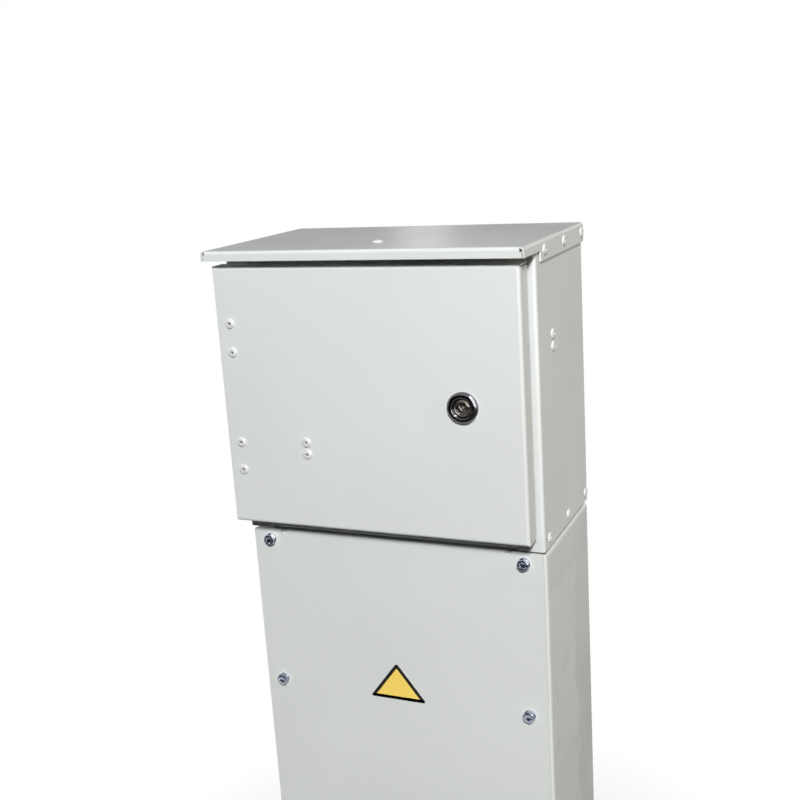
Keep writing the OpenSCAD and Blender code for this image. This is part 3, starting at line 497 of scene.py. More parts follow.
@dataclass(frozen=True)
class FoamFinish:
    """Closed-cell foam: dull, with the skin's small cells."""

    name: str
    tint: Rgb
    roughness: float = 0.85
    gloss_grain: Grain = Grain(60.0)
    gloss_spread: float = 0.07
    cell_scale: float = 900.0
    cell_range: Pair = (0.1, 0.6)
    cell_depth: float = 0.00015
    cell_share: float = 0.6
    crown_shade: float = 1.15
    wall_shade: float = 0.8

    def material(self) -> Material:
        """Makes the finish.

        Returns:
            The new material.
        """
        graph = NodeGraph(self.name)
        cell = graph.cells(self.cell_scale)
        wall = graph.ranged(cell, *self.cell_range, 0.0, 1.0)
        graph.feed("Base Color", graph.mixed(wall, shaded(self.tint, self.crown_shade),
                                             shaded(self.tint, self.wall_shade)))
        graph.gloss(self.gloss_grain, self.roughness, self.gloss_spread)
        graph.bump(cell, self.cell_depth, self.cell_share)
        return graph.material


Finish = PaintFinish | MetalFinish | MouldedFinish | FoamFinish


class Coat(Enum):
    """The box's finishes, and the cloth of the studio's dark cards."""

    SHEET = PaintFinish("powder_coat", (219, 223, 222))
    # The plinth's right-hand face carries a film of dirt and painted shade darker towards the
    # bottom.
    PLINTH = PaintFinish("powder_coat_plinth", (219, 223, 220), film=DirtAndShadeFilm())
    RIVET = PaintFinish("painted_rivet", (214, 217, 215), roughness=0.34, mottle=0.01)
    # Steel of the broken mandrel, made darker than bare steel as painted shade in the rivet's hole.
    MANDREL_HOLE_SHADE = MetalFinish("mandrel_steel_hole_shade", (92, 92, 94), roughness=0.35)
    # Bluish like real zinc plating, but darker than bright zinc: a painted dark reflection on
    # bolts, nuts and screws.
    ZINC = MetalFinish("zinc_plate_dark_reflection", (156, 163, 176), roughness=0.17)
    GALVANISED = MetalFinish("zinc_sheet", (186, 190, 194), roughness=0.42,
                             line_stretch=(1.0, 8.0, 8.0))
    # Tint far darker than real chrome: a painted dark reflection, so the ring reads dark where it
    # mirrors the white surround.
    CHROME = MetalFinish("chrome_dark_reflection", (104, 104, 108), roughness=0.09, gloss_spread=0.02,
                         line_depth=0.000001)
    INSERT = MetalFinish("cast_insert", (112, 108, 103), roughness=0.27,
                         turned_about=(0.089, 0.5675))
    BRASS = MetalFinish("bar_brass", (205, 170, 100), roughness=0.32, line_stretch=(1.0, 8.0, 8.0))
    FOAM = FoamFinish("seal_foam", (52, 52, 54))
    RUBBER = MouldedFinish("grommet_rubber", (44, 44, 45), roughness=0.62)
    DEVICE = MouldedFinish("switch_moulding", (224, 224, 219), roughness=0.45)
    LEVER = MouldedFinish("lever_moulding", (34, 34, 36), roughness=0.38)
    NEUTRAL = MouldedFinish("blue_moulding", (40, 88, 172), roughness=0.42)
    FLAG = MouldedFinish("flag_cloth", (40, 40, 42), roughness=0.9)
    PLATE = PaintFinish("plate_yellow", (255, 221, 106), roughness=0.34, peel_depth=0.000005)
    PLATE_RIM = PaintFinish("plate_rim", (18, 17, 16), roughness=0.42, specular=0.25,
                            peel_depth=0.000005)

    @cache
    def material(self) -> Material:
        """The finish's material, made once."""
        finish: Finish = self.value
        return finish.material()


def dress(nodes: Iterable[str], coat: Coat) -> None:
    """Gives nodes of the frame a finish.

    Args:
        nodes: Names of the nodes.
        coat: The finish.
    """
    for name in nodes:
        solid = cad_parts[name]
        for holder in solid.material_slots:
            holder.material = coat.material()
        LOG.info("%s: %s", name, coat.value.name)


def put(name: str, data: bpy.types.ID) -> bpy.types.Object:
    """Adds an object at the origin.

    Args:
        name: The object's name.
        data: Its mesh, lamp or camera.

    Returns:
        The new object.
    """
    made = bpy.data.objects.new(name, data)
    bpy.context.scene.collection.objects.link(made)
    return made


def section(points: Profile, at: Pair = (0.0, 0.0), radius: float = 1.0,
            height: float = 1.0) -> list[Pair]:
    """Puts a stretch of a half section in its place.

    Args:
        points: Radius and height of each point.
        at: Radius and height that the stretch starts from.
        radius: Factor on the radii.
        height: Factor on the heights.

    Returns:
        The points in place.
    """
    return [(at[0] + radius * out, at[1] + height * up) for out, up in points]


def dome(middle: Pair, radii: Pair, fall: float, steps: int) -> list[Pair]:
    """Draws an elliptic arc that starts level over its middle and falls outwards.

    Args:
        middle: Radius and height of the ellipse's middle.
        radii: Its half width and half height.
        fall: Angle of the last point.
        steps: Stretches along the arc.

    Returns:
        Points of a half section.
    """
    angles = [fall * step / steps for step in range(steps + 1)]
    return section([(math.sin(angle), math.cos(angle)) for angle in angles], middle, *radii)


class Workpiece:
    """A mesh under construction, in metres in the object's own frame."""

    def __init__(self) -> None:
        """Starts an empty mesh."""
        self.bm = bmesh.new()

    def turn(self, profile: Profile, steps: int = TURN_STEPS) -> None:
        """Spins a half section round the Z axis and closes its poles.

        Args:
            profile: Radius and height of its points, in millimetres.
            steps: Faces round the axis.
        """
        verts = [self.bm.verts.new((radius * MM, 0.0, height * MM)) for radius, height in profile]
        edges = [self.bm.edges.new(pair) for pair in zip(verts, verts[1:])]
        bmesh.ops.spin(self.bm, geom=verts + edges, cent=(0, 0, 0), axis=(0, 0, 1), dvec=(0, 0, 0),
                       angle=math.tau, steps=steps, use_merge=True, use_duplicate=False)
        self.close()

    def close(self) -> None:
        """Merges doubles and turns the faces outwards."""
        bmesh.ops.remove_doubles(self.bm, verts=self.bm.verts, dist=WELD_DISTANCE)
        bmesh.ops.recalc_face_normals(self.bm, faces=self.bm.faces)

    def mark_core(self, radius: float, low: float, high: float) -> None:
        """Gives the faces near the Z axis and between two heights the second finish.

        Args:
            radius: How far from the axis they lie, in millimetres.
            low: Where the core starts.
            high: Where it ends.
        """
        for face in self.bm.faces:
            middle = face.calc_center_median() / MM
            inside = math.hypot(middle.x, middle.y) < radius and low < middle.z < high
            face.material_index = int(inside)

    def cut_flats(self, flats: float, count: int = 6) -> None:
        """Cuts flat sides round the Z axis.

        Args:
            flats: Width across two opposite flats, in millimetres.
            count: Number of flats.
        """
        for turn in range(count):
            angle = turn * math.tau / count
            out = Vector((math.cos(angle), math.sin(angle), 0.0))
            whole = self.bm.verts[:] + self.bm.edges[:] + self.bm.faces[:]
            cut = bmesh.ops.bisect_plane(self.bm, geom=whole, dist=WELD_DISTANCE, clear_outer=True,
                                         plane_co=out * flats * MM / 2, plane_no=out)
            rim = [part for part in cut["geom_cut"] if isinstance(part, bmesh.types.BMEdge)]
            bmesh.ops.edgeloop_fill(self.bm, edges=rim)
        self.close()

    def lay(self, corners: Iterable[Triple], corner_r: float, steps: int) -> None:
        """Lays one flat face with round corners.

        Args:
            corners: The corners before they are rounded.
            corner_r: How far from a corner its round starts, in millimetres.
            steps: Edges along each round.
        """
        verts = [self.bm.verts.new(corner) for corner in corners]
        self.bm.faces.new(verts)
        bmesh.ops.bevel(self.bm, geom=verts, offset=corner_r * MM, affect="VERTICES",
                        segments=steps, profile=0.5, material=-1)

    def frame_in(self, width: float) -> tuple[Faces, Faces]:
        """Splits a flat face into a field and the rim round it.

        Args:
            width: Width of the rim, in millimetres.

        Returns:
            The faces of the field, and those of the rim.
        """
        inner = self.bm.faces[:]
        rim = bmesh.ops.inset_region(self.bm, faces=inner, thickness=width * MM, use_boundary=True,
                                     use_even_offset=True)["faces"]
        return inner, rim

    def thicken(self, depth: float) -> None:
        """Gives all faces a thickness along Y.

        Args:
            depth: How far the new side lies from the old one, in metres.
        """
        raised = bmesh.ops.extrude_face_region(self.bm, geom=self.bm.faces[:], use_keep_orig=True)
        verts = [part for part in raised["geom"] if isinstance(part, bmesh.types.BMVert)]
        bmesh.ops.translate(self.bm, vec=(0.0, depth, 0.0), verts=verts)

    def add(self, blank: bpy.types.Mesh, place: Matrix) -> None:
        """Adds a copy of a finished blank.

        Args:
            blank: The mesh to copy.
            place: Where its origin and axes go.
        """
        start = len(self.bm.verts)
        self.bm.from_mesh(blank)
        self.bm.verts.ensure_lookup_table()
        bmesh.ops.transform(self.bm, matrix=place, verts=self.bm.verts[start:])

    def mesh(self, name: str) -> bpy.types.Mesh:
        """Ends the work as a mesh that is smooth but for its edges.

        Args:
            name: The mesh's name.

        Returns:
            The mesh.
        """
        mesh = bpy.data.meshes.new(name)
        self.bm.to_mesh(mesh)
        self.bm.free()
        mesh.shade_smooth()
        mesh.set_sharp_from_angle(angle=SMOOTH_ANGLE)
        return mesh

    def piece(self, name: str, coats: Sequence[Coat], body: Body, slot: Slot,
              replaced: Sequence[str] = ()) -> bpy.types.Object:
        """Ends the work as a piece of the object.

        Args:
            name: The piece's name.
            coats: Finishes in the order of the material numbers.
            body: What it rides on.
            slot: The record's slot of its main finish; not used.
            replaced: Nodes of the frame that it stands for.

        Returns:
            The new object.
        """
        mesh = self.mesh(name)
        for coat in coats:
            mesh.materials.append(coat.material())
        made = put(name, mesh)
        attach(made, body.value)
        if replaced:
            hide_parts(*replaced)
        LOG.info("%s: %d faces on %s", name, len(mesh.polygons), body.value)
        return made


@dataclass(frozen=True)
class Fastening:
    """Where a turned piece sits: its seat, the way its head points, and its reach behind it."""

    seat: Vector
    out: Vector
    reach: float = 0.0

    def place(self, turn: float = 0.0) -> Matrix:
        """The matrix that puts a blank's origin on the seat with Z outwards, turned about Z."""
        frame_turn = self.out.to_track_quat("Z", "Y").to_matrix().to_4x4()
        return Matrix.Translation(self.seat) @ frame_turn @ Matrix.Rotation(turn, 4, "Z")


def loose_solids(node: str) -> list[list[Vector]]:
    """Collects the points of each separate solid in a node.

    Args:
        node: The node's name.

    Returns:
        A list of points for each solid.
    """
    bm = bmesh.new()
    bm.from_mesh(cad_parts[node].data)
    bmesh.ops.remove_doubles(bm, verts=bm.verts, dist=WELD_DISTANCE)
    left = set(bm.verts)
    solids = []
    while left:
        front = [left.pop()]
        points = []
        while front:
            vert = front.pop()
            points.append(vert.co.copy())
            near = {edge.other_vert(vert) for edge in vert.link_edges} & left
            left -= near
            front.extend(near)
        solids.append(points)
    bm.free()
    return sorted(solids, key=lambda solid: [round(v, SORT_DIGITS) for v in min(solid, key=tuple)])


def fastenings(node: str, head_size: float) -> list[Fastening]:
    """Finds the headed fasteners of a node.

    Args:
        node: The node's name.
        head_size: Width of the heads in millimetres.

    Returns:
        Seat, direction and reach of each.
    """
    found = []
    for points in loose_solids(node):
        low = Vector(min(point[i] for point in points) for i in range(3))
        high = Vector(max(point[i] for point in points) for i in range(3))
        size, middle = high - low, (low + high) / 2
        axis = max(range(3), key=lambda i: abs(size[i] - head_size * MM))
        across = [i for i in range(3) if i != axis]
        radii = [math.hypot(*(point[i] - middle[i] for i in across)) for point in points]
        widest = max(radii)
        rim = [point[axis] for point, radius in zip(points, radii) if radius > RIM_SHARE * widest]
        forwards = sum(rim) / len(rim) > middle[axis]
        seat, out = middle.copy(), Vector((0.0, 0.0, 0.0))
        seat[axis] = min(rim) if forwards else max(rim)
        out[axis] = 1.0 if forwards else -1.0
        tail = low[axis] if forwards else high[axis]
        found.append(Fastening(seat, out, abs(seat[axis] - tail) / MM))
    return found


@dataclass
class BlindRivets:
    """Blind rivets with a flat-topped round head and the broken mandrel in its hole (millimetres).

    The mandrel's section has shares of its radius, the tail's has shares of its radius and height.
    The mouth's section starts from the hole's wall at the head's top.
    """

    head_d: float = 9.5
    head_h: float = 1.8
    rim_h: float = 0.3
    flat_d: float = 4.4
    shank_d: float = 4.8
    tail_d: float = 6.6
    tail_h: float = 2.5
    hole_d: float = 2.9
    hole_depth: float = 0.5
    mandrel_d: float = 2.2
    core_gap: float = 0.1
    core_depth: float = 1.0
    edge_steps: int = 9
    mandrel: Profile = ((0.0, 0.15), (0.6, 0.1), (0.95, -0.1))
    mouth: Profile = ((0.0, -0.18), (0.05, -0.06), (0.16, 0.0))
    tail: Profile = ((0.92, -0.08), (1.0, -0.5), (0.9, -0.85), (0.5, -1.0))

    def profile(self, reach: float) -> list[Pair]:
        """Draws the half section of one rivet.

        Args:
            reach: Length behind the head.

        Returns:
            Points from the mandrel to the tail's end.
        """
        head_r, hole_r, pin_r = self.head_d / 2, self.hole_d / 2, self.mandrel_d / 2
        flat_r, shank_r, grip = self.flat_d / 2, self.shank_d / 2, self.tail_h - reach
        return [*section(self.mandrel, radius=pin_r), (pin_r, -self.hole_depth),
                (hole_r, -self.hole_depth), *section(self.mouth, (hole_r, self.head_h)),
                *dome((flat_r, self.rim_h), (head_r - flat_r, self.head_h - self.rim_h),
                      math.pi / 2, self.edge_steps),
                (head_r, 0.0), (shank_r, 0.0), (shank_r, grip),
                *section(self.tail, (0.0, grip), self.tail_d / 2, self.tail_h), (0.0, -reach)]

    def build(self, node: str, body: Body) -> None:
        """Models the rivets that stand for a node, as one piece.

        Args:
            node: The node's name.
            body: What they ride on.
        """
        group = Workpiece()
        for found in fastenings(node, self.head_d):
            one = Workpiece()
            one.turn(self.profile(found.reach))
            # The mandrel and the hole's floor take the dark second finish: painted shade in the
            # hole over the mandrel's own steel.
            one.mark_core(self.hole_d / 2 - self.core_gap, -self.core_depth, self.rim_h)
            group.add(one.mesh(f"{node}_blank"), found.place())
        group.piece(f"{node}_heads", [Coat.RIVET, Coat.MANDREL_HOLE_SHADE], body, Slot.RIVET, [node])


@dataclass
class Enclosure:
    """The upper box: shell, roof, head rail, floor tray and what rivets them together."""

    painted: tuple[str, ...] = ("body_shell", "roof", "head_rail", "floor_plate")
    rivets: BlindRivets = field(default_factory=BlindRivets)
    rivet_nodes: tuple[str, ...] = ("roof_rivets", "floor_rivets", "bracket_rivets",
                                    "body_leaf_rivets")

    def dress(self) -> None:
        """Gives the sheets, grommets and hinge leaves their finishes."""
        dress(self.painted, Coat.SHEET)
        dress(("floor_grommets",), Coat.RUBBER)
        dress(("upper_body_leaf", "lower_body_leaf", "hinge_pins"), Coat.GALVANISED)

    def build(self) -> None:
        """Models the rivets."""
        for node in self.rivet_nodes:
            self.rivets.build(node, Body.CABINET)


@dataclass
class Door:
    """The door pan with its hinge leaves, foam seal, earthing stud and rivets (millimetres)."""

    seal_w: float = 10.0
    seal_corner_r: float = 15.0
    seal_corner_steps: int = 8
    seal_crown: float = 3.4
    seal_crown_steps: int = 5
    rivets: BlindRivets = field(default_factory=BlindRivets)
    rivet_nodes: tuple[str, ...] = ("door_leaf_rivets", "door_bracket_rivets")

    def dress(self) -> None:
        """Gives the pan and its fittings their finishes."""
        dress(("door",), Coat.SHEET)
        dress(("upper_door_leaf", "lower_door_leaf", "door_bracket"), Coat.GALVANISED)
        dress(("earth_stud", "earth_nut"), Coat.ZINC)

    def build(self) -> None:
        """Models the rivets and the seal."""
        for node in self.rivet_nodes:
            self.rivets.build(node, Body.DOOR)
        self.build_seal()

    def build_seal(self) -> None:
        """Models the seal: a crowned ring of foam stuck to the back of the pan."""
        low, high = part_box("door_gasket")
        work = Workpiece()
        corners = ((low.x, low.z), (high.x, low.z), (high.x, high.z), (low.x, high.z))
        work.lay([(x, low.y, z) for x, z in corners], self.seal_corner_r, self.seal_corner_steps)
        inner, _ = work.frame_in(self.seal_w)
        bmesh.ops.delete(work.bm, geom=inner, context="FACES_ONLY")
        work.thicken(high.y - low.y)
        crest = high.y - WELD_DISTANCE
        rims = [edge for edge in work.bm.edges
                if all(vert.co.y > crest for vert in edge.verts)
                and any(face.calc_center_median().y < crest for face in edge.link_faces)]
        bmesh.ops.bevel(work.bm, geom=rims, offset=self.seal_crown * MM, affect="EDGES",
                        segments=self.seal_crown_steps, profile=0.5, material=-1)
        work.close()
        seal = work.piece("door_seal", [Coat.FOAM], Body.DOOR, Slot.FOAM, ["door_gasket"])


@dataclass
class Lock:
    """The quarter-turn lock: chromed housing ring, cast insert, nut and cam (millimetres).

    The lip's section starts from the mouth's wall at the ring's top.
    """

    ring_d: float = 28.0
    mouth_d: float = 18.0
    bore_d: float = 15.0
    barrel_d: float = 19.0
    ring_h: float = 4.2
    crest_d: float = 20.4
    edge_slope: float = 36.0
    edge_in: float = 0.1
    edge_drop: float = 0.25
    foot_soft: float = 0.12
    plug_sink: float = 2.4
    barrel_len: float = 24.5
    dome_steps: int = 16
    turn_steps: int = 96
    lip: Profile = ((0.0, -0.7), (0.15, -0.35), (0.5, -0.08))

    def dress(self) -> None:
        """Gives the insert, nut and cam their finishes."""
        dress(("lock_cylinder",), Coat.INSERT)
        dress(("lock_nut", "lock_cam", "cam_screw"), Coat.ZINC)

    def profile(self) -> list[Pair]:
        """Draws the half section of the housing.

        Returns:
            Points from the bore round ring and barrel, and back.
        """
        ring_r, mouth_r, bore_r = self.ring_d / 2, self.mouth_d / 2, self.bore_d / 2
        crest_r, barrel_r = self.crest_d / 2, self.barrel_d / 2
        slope, seat = math.radians(self.edge_slope), self.ring_h - self.plug_sink
        dome_r = (ring_r - self.edge_in - crest_r) / math.sin(slope)
        top = dome((crest_r, self.ring_h - dome_r), (dome_r, dome_r), slope, self.dome_steps)
        return [(bore_r, seat), (mouth_r, seat), *section(self.lip, (mouth_r, self.ring_h)), *top,
                (ring_r, top[-1][1] - self.edge_drop), (ring_r, self.foot_soft),
                (ring_r - self.foot_soft, 0.0), (barrel_r, 0.0), (barrel_r, -self.barrel_len),
                (bore_r, -self.barrel_len), (bore_r, seat)]

    def build(self) -> None:
        """Models the housing."""
        low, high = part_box("lock_housing")
        seat = Vector(((low.x + high.x) / 2, low.y + self.ring_h * MM, (low.z + high.z) / 2))
        ring = Workpiece()
        ring.turn(self.profile(), self.turn_steps)
        group = Workpiece()
        group.add(ring.mesh("lock_blank"), Fastening(seat, Vector(FRONT)).place())
        # The ring's coat is darker than chrome: painted dark reflection.
        group.piece("lock_ring", [Coat.CHROME], Body.DOOR, Slot.CHROME, ["lock_housing"])


@dataclass
class Plinth:
    """The plinth with its bolted cover, the plate on it, and the joint to the box (millimetres).

    The dish's section has shares of its radius and heights over its floor. The head's edge starts
    from the flats at the head's top.
    """

    bolt_flats: float = 10.0
    bolt_head_h: float = 4.0
    bolt_d: float = 6.0
    bolt_tip: float = 0.5
    corner_spare: float = 0.2
    chamfer: float = 30.0
    dish_d: float = 6.4
    dish_h: float = 1.5
    dish_soft: float = 0.15
    dish: Profile = ((0.0, 0.0), (0.6, 0.05), (0.85, 0.3))
    head_edge: Profile = ((-0.35, 0.0), (-0.1, -0.06))
    bolt_steps: int = 72
    bolt_turns: tuple[float, ...] = (8.0, 21.0, 47.0, 33.0, 12.0, 52.0)
    washer_d: float = 11.5
    washer_bore: float = 6.4
    washer_t: float = 1.6
    washer_soft: float = 0.25
    plate_x: float = -3.4
    plate_z: float = 263.2
    plate_w: float = 58.8
    plate_h: float = 38.4
    plate_t: float = 0.4
    plate_rim: float = 3.3
    plate_corner: float = 3.2
    plate_corner_steps: int = 5

    def dress(self) -> None:
        """Gives the plinth's solids their finishes."""
        dress(("plinth_shell", "front_cover"), Coat.PLINTH)
        dress(("cover_nuts", "joint_bolts", "joint_nuts"), Coat.ZINC)
        dress(("joint_spacers",), Coat.RUBBER)
        dress(("cable_rail",), Coat.GALVANISED)

    def bolt_profile(self, reach: float) -> list[Pair]:
        """Draws the half section of a cover bolt before its flats are cut.

        Args:
            reach: Length behind the head.

        Returns:
            Points from the dish to the shank's end.
        """
        flat_r, dish_r, shank_r = self.bolt_flats / 2, self.dish_d / 2, self.bolt_d / 2
        corner_r = flat_r / math.cos(math.pi / 6) + self.corner_spare
        top, edge = self.bolt_head_h, section(self.head_edge, (flat_r, self.bolt_head_h))
        slope = (corner_r - flat_r) * math.tan(math.radians(self.chamfer))
        return [*section(self.dish, (0.0, top - self.dish_h), dish_r),
                (dish_r, top - self.dish_soft), (dish_r + self.dish_soft, top), *edge,
                (corner_r, edge[-1][1] - slope), (corner_r, 0.0), (shank_r, 0.0),
                (shank_r, self.bolt_tip - reach), (shank_r - self.bolt_tip, -reach), (0.0, -reach)]

    def washer_profile(self) -> list[Pair]:
        """Draws the section of a washer, stamped with slightly round edges.

        Returns:
            Points round the section, closed.
        """
        inner, outer, soft = self.washer_bore / 2, self.washer_d / 2, self.washer_soft
        return [(inner, 0.0), (outer - soft / 2, 0.0), (outer, soft), (outer, self.washer_t - soft),
                (outer - soft, self.washer_t), (inner, self.washer_t), (inner, 0.0)]

    def build(self) -> None:
        """Models the cover's bolts, washers and plate."""
        bolts, washers = Workpiece(), Workpiece()
        for found, turn in zip(fastenings("cover_bolts", self.bolt_flats), self.bolt_turns):
            bolt = Workpiece()
            bolt.turn(self.bolt_profile(found.reach), self.bolt_steps)
            bolt.cut_flats(self.bolt_flats)
            bolts.add(bolt.mesh("bolt_blank"), found.place(math.radians(turn)))
            washer = Workpiece()
            washer.turn(self.washer_profile())
            base = Fastening(found.seat - found.out * self.washer_t * MM, found.out)
            washers.add(washer.mesh("washer_blank"), base.place())
        bolts.piece("cover_hex_bolts", [Coat.ZINC], Body.CABINET, Slot.ZINC, ["cover_bolts"])
        washers.piece("cover_flat_washers", [Coat.ZINC], Body.CABINET, Slot.ZINC, ["cover_washers"])
        self.build_plate()

    def build_plate(self) -> None:
        """Models the three-cornered plate: a yellow field inside a dark rim."""
        face_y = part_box("front_cover")[0].y
        half = self.plate_w / 2
        corners = ((-half, 0.0), (half, 0.0), (0.0, self.plate_h))
        work = Workpiece()
        work.lay([((self.plate_x + x) * MM, face_y, (self.plate_z + z) * MM) for x, z in corners],
                 self.plate_corner, self.plate_corner_steps)
        _, rim = work.frame_in(self.plate_rim)
        for face in rim:
            face.material_index = 1
        bmesh.ops.recalc_face_normals(work.bm, faces=work.bm.faces)
        work.thicken(-self.plate_t * MM)
        work.close()
        work.piece("cover_plate", [Coat.PLATE, Coat.PLATE_RIM], Body.CABINET, Slot.PAINT)


@dataclass
class Equipment:
    """The mounting rail with its switch and breakers, and the two terminal bars (millimetres).

    The screws' crown has shares of the head's radius and heights from its top.
    """

    breakers: int = 3
    poles: int = 6
    pole_pitch: float = 17.8
    screw_d: float = 4.9
    screw_h: float = 2.2
    screw_y: float = -12.0
    screw_drop: float = 33.5
    screw_steps: int = 32
    crown: Profile = ((0.0, 0.0), (0.7, -0.1), (0.95, -0.45), (1.0, -0.8))
    rail_z: float = 614.0

    def dress(self) -> None:
        """Gives the rail, devices and bars their finishes."""
        dress(("din_rail", "rail_bracket_left", "rail_bracket_right"), Coat.GALVANISED)
        dress(("rail_screws", "rail_nuts", "neutral_screws", "earth_screws"), Coat.ZINC)
        numbers = range(1, self.breakers + 1)
        dress(("main_switch", *(f"breaker_{number}" for number in numbers)), Coat.DEVICE)
        dress(("main_toggle", *(f"breaker_toggle_{number}" for number in numbers)), Coat.LEVER)
        dress(("neutral_bar", "earth_bar", "earth_feet"), Coat.BRASS)
        dress(("neutral_feet",), Coat.NEUTRAL)

    def screw_profile(self) -> list[Pair]:
        """Half section of a terminal screw's head."""
        radius = self.screw_d / 2
        return [*section(self.crown, (0.0, self.screw_h), radius), (radius, 0.0), (0.0, 0.0)]

    def build(self) -> None:
        """Models the terminal screws in the devices' wells."""
        group = Workpiece()
        first = -(self.poles - 1) / 2 * self.pole_pitch
        for pole in range(self.poles):
            for side in (-1, 1):
                seat = Vector((first + pole * self.pole_pitch, self.screw_y,
                               self.rail_z + side * self.screw_drop)) * MM
                screw = Workpiece()
                screw.turn(self.screw_profile(), self.screw_steps)
                group.add(screw.mesh("terminal_blank"), Fastening(seat, Vector(FRONT)).place())
        group.piece("terminal_screws", [Coat.ZINC], Body.CABINET, Slot.ZINC)


@dataclass(frozen=True)
class Lamp:
    """One soft square lamp that points at the object (metres and watts)."""

    name: str
    eye: Triple
    target: Triple
    size: float
    power: float
    tint: Triple = (1.0, 1.0, 1.0)
    mirrored: bool = True
    glint_only: bool = False

    def build(self) -> None:
        """Adds the lamp."""
        light = bpy.data.lights.new(self.name, "AREA")
        light.shape = "SQUARE"
        light.size = self.size
        light.energy = self.power
        light.color = self.tint
        made = put(self.name, light)
        made.location = self.eye
        made.visible_glossy = self.mirrored
        made.visible_diffuse = not self.glint_only
        aim = Vector(self.target) - Vector(self.eye)
        made.rotation_euler = aim.to_track_quat("-Z", "Y").to_euler()


@dataclass(frozen=True)
class Flag:
    """A dark card beside the lamps, out of the camera's sight, that gives metal its contrast."""

    name: str
    middle: Triple
    facing: Triple
    width: float
    height: float

    def build(self) -> None:
        """Adds the card, seen by mirror rays alone."""
        work = Workpiece()
        bmesh.ops.create_grid(work.bm, x_segments=1, y_segments=1, size=0.5)
        bmesh.ops.scale(work.bm, vec=(self.width, self.height, 1.0), verts=work.bm.verts)
        turn = Vector(self.facing).to_track_quat("Z", "Y").to_matrix().to_4x4()
        bmesh.ops.transform(work.bm, matrix=Matrix.Translation(self.middle) @ turn,
                            verts=work.bm.verts)
        card = put(self.name, work.mesh(self.name))
        card.data.materials.append(Coat.FLAG.material())
        card.visible_camera = False
        card.visible_diffuse = False
        card.visible_shadow = False


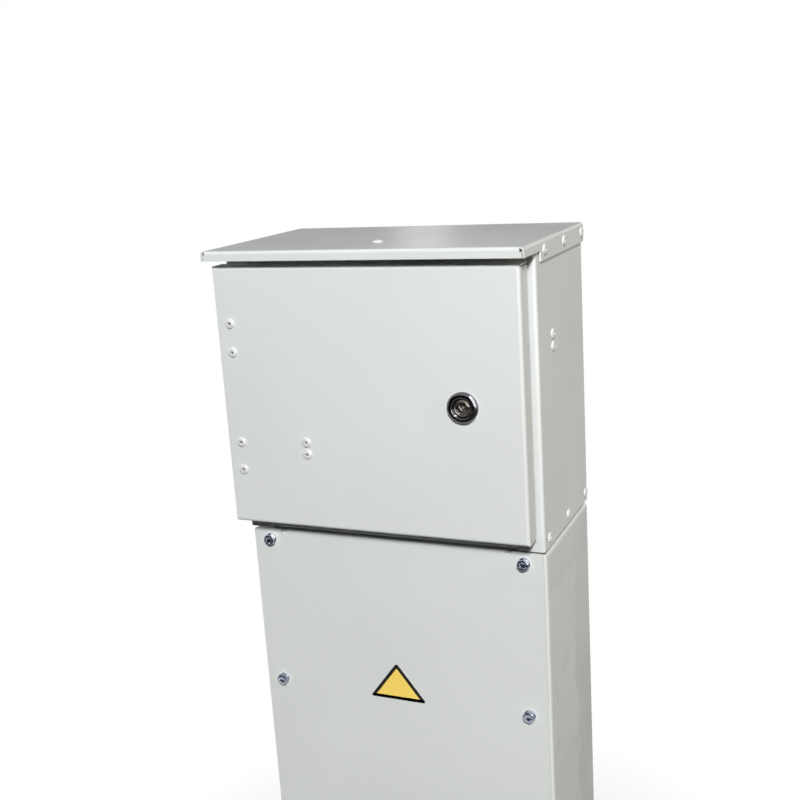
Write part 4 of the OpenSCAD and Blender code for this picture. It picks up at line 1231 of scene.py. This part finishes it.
@dataclass
class Studio:
    """White floor and surround, soft lamps, dark cards, and the camera (metres)."""

    eye: Triple = (0.4242, -0.9648, 0.8106)
    forward: Triple = (-0.3958, 0.8864, -0.2399)
    right: Triple = (0.9175, 0.3928, -0.0622)
    lens: float = 51.159
    sensor: float = 36.0
    nearest: float = 0.01
    floor_radius: float = 8.0
    floor_steps: int = 128
    floor_tint: Rgb = (196, 196, 196)
    floor_return: Rgb = (28, 28, 28)
    shadow_edge: Pair = (0.16, 0.36)
    shadow_glow: float = 0.6
    ambient: float = 0.018
    lamps: tuple[Lamp, ...] = (
        Lamp("key", (1.2, -2.75, 2.35), (0.0, 0.0, 0.5), size=0.45, power=143.5,
             tint=(1.0, 0.997, 1.0)),
        Lamp("right_lamp", (1.8, -0.45, 1.1), (0.0, 0.0, 0.6), size=0.5, power=4.3,
             tint=(1.0, 0.80, 0.48)),
        Lamp("glint", (0.78, -1.7, 0.86), (0.089, -0.083, 0.5675), size=1.1, power=20.0,
             glint_only=True),
        Lamp("left_fill", (-2.0, 0.25, 0.8), (0.0, 0.0, 0.4), size=0.9, power=30.0, mirrored=False),
        Lamp("back_fill", (-0.2, 2.2, 0.75), (0.0, 0.0, 0.4), size=0.9, power=34.0, mirrored=False),
    )
    flags: tuple[Flag, ...] = (
        Flag("front_flag", (-0.7, -2.0, 0.6), (0.2, 1.0, 0.0), width=3.2, height=1.2),
        Flag("floor_flag", (-0.2, -1.3, 0.01), (0.0, 0.0, 1.0), width=4.2, height=1.5),
        Flag("rear_left_flag", (-2.38, 2.6, 2.2), FRONT, width=2.5, height=4.0),
        Flag("rear_right_flag", (-0.35, 2.6, 2.2), FRONT, width=1.2, height=4.0),
    )

    def build(self) -> None:
        """Sets the stage."""
        bpy.context.scene.view_settings.view_transform = "Standard"
        self.build_camera()
        self.build_surround()
        self.build_floor()
        for part in (*self.lamps, *self.flags):
            part.build()
            LOG.info("stage: %s", part.name)

    def build_camera(self) -> None:
        """Puts the camera at the photo's viewing angle."""
        camera = bpy.data.cameras.new("camera")
        camera.lens = self.lens
        camera.sensor_width = self.sensor
        camera.clip_start = self.nearest
        made = put("camera", camera)
        forward = Vector(self.forward).normalized()
        right = (Vector(self.right) - forward * Vector(self.right).dot(forward)).normalized()
        turn = Matrix((right, right.cross(forward), -forward)).transposed().to_4x4()
        made.matrix_world = Matrix.Translation(self.eye) @ turn
        bpy.context.scene.camera = made

    @staticmethod
    def seen(tree: bpy.types.NodeTree) -> Socket:
        """Tells the rays that show the background: camera, mirror and glass rays.

        Args:
            tree: The node tree that asks.

        Returns:
            One for such rays, and zero for others.
        """
        path = tree.nodes.new("ShaderNodeLightPath")
        total = path.outputs["Is Camera Ray"]
        for name in ("Is Glossy Ray", "Is Transmission Ray"):
            node = tree.nodes.new("ShaderNodeMath")
            node.operation = "MAXIMUM"
            tree.links.new(total, node.inputs[0])
            tree.links.new(path.outputs[name], node.inputs[1])
            total = node.outputs["Value"]
        return total

    def build_surround(self) -> None:
        """Makes the surround white to look at and a plain soft light otherwise."""
        world = bpy.data.worlds.new("surround")
        bpy.context.scene.world = world
        world.use_nodes = True
        tree = world.node_tree
        soft = tree.nodes["Background"]
        soft.inputs["Color"].default_value = WHITE
        soft.inputs["Strength"].default_value = self.ambient
        white = tree.nodes.new("ShaderNodeBackground")
        white.inputs["Color"].default_value = WHITE
        mix = tree.nodes.new("ShaderNodeMixShader")
        tree.links.new(self.seen(tree), mix.inputs["Fac"])
        tree.links.new(soft.outputs["Background"], mix.inputs[1])
        tree.links.new(white.outputs["Background"], mix.inputs[2])
        tree.links.new(mix.outputs["Shader"], tree.nodes["World Output"].inputs["Surface"])

    def build_floor(self) -> None:
        """Lays a round pale floor that keeps the shadow and turns white further out."""
        work = Workpiece()
        bmesh.ops.create_circle(work.bm, cap_ends=True, segments=self.floor_steps,
                                radius=self.floor_radius)
        floor = put("floor", work.mesh("floor"))
        graph = NodeGraph("floor_paint")
        graph.tree.nodes.remove(graph.shader)
        pale = graph.add("ShaderNodeBsdfDiffuse")
        seen = self.seen(graph.tree)
        tint = graph.mixed(seen, linear(self.floor_return), linear(self.floor_tint))
        graph.link(tint, pale.inputs["Color"])
        glow = graph.add("ShaderNodeEmission")
        far = graph.vector("LENGTH", graph.position).outputs["Value"]
        share = graph.ranged(far, *self.shadow_edge, self.shadow_glow, 1.0)
        mix = graph.add("ShaderNodeMixShader")
        graph.link(graph.combined("MULTIPLY", share, seen), mix.inputs["Fac"])
        graph.link(pale.outputs["BSDF"], mix.inputs[1])
        graph.link(glow.outputs["Emission"], mix.inputs[2])
        graph.link(mix.outputs["Shader"], graph.tree.nodes["Material Output"].inputs["Surface"])
        floor.data.materials.append(graph.material)


def main() -> None:
    """Builds and dresses the sub-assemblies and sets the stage."""
    logging.basicConfig(level=logging.INFO, format="%(message)s")
    for assembly in (Enclosure(), Door(), Lock(), Plinth(), Equipment()):
        LOG.info("%s", type(assembly).__name__)
        assembly.dress()
        assembly.build()
    Studio().build()


if __name__ == "__main__":
    main()
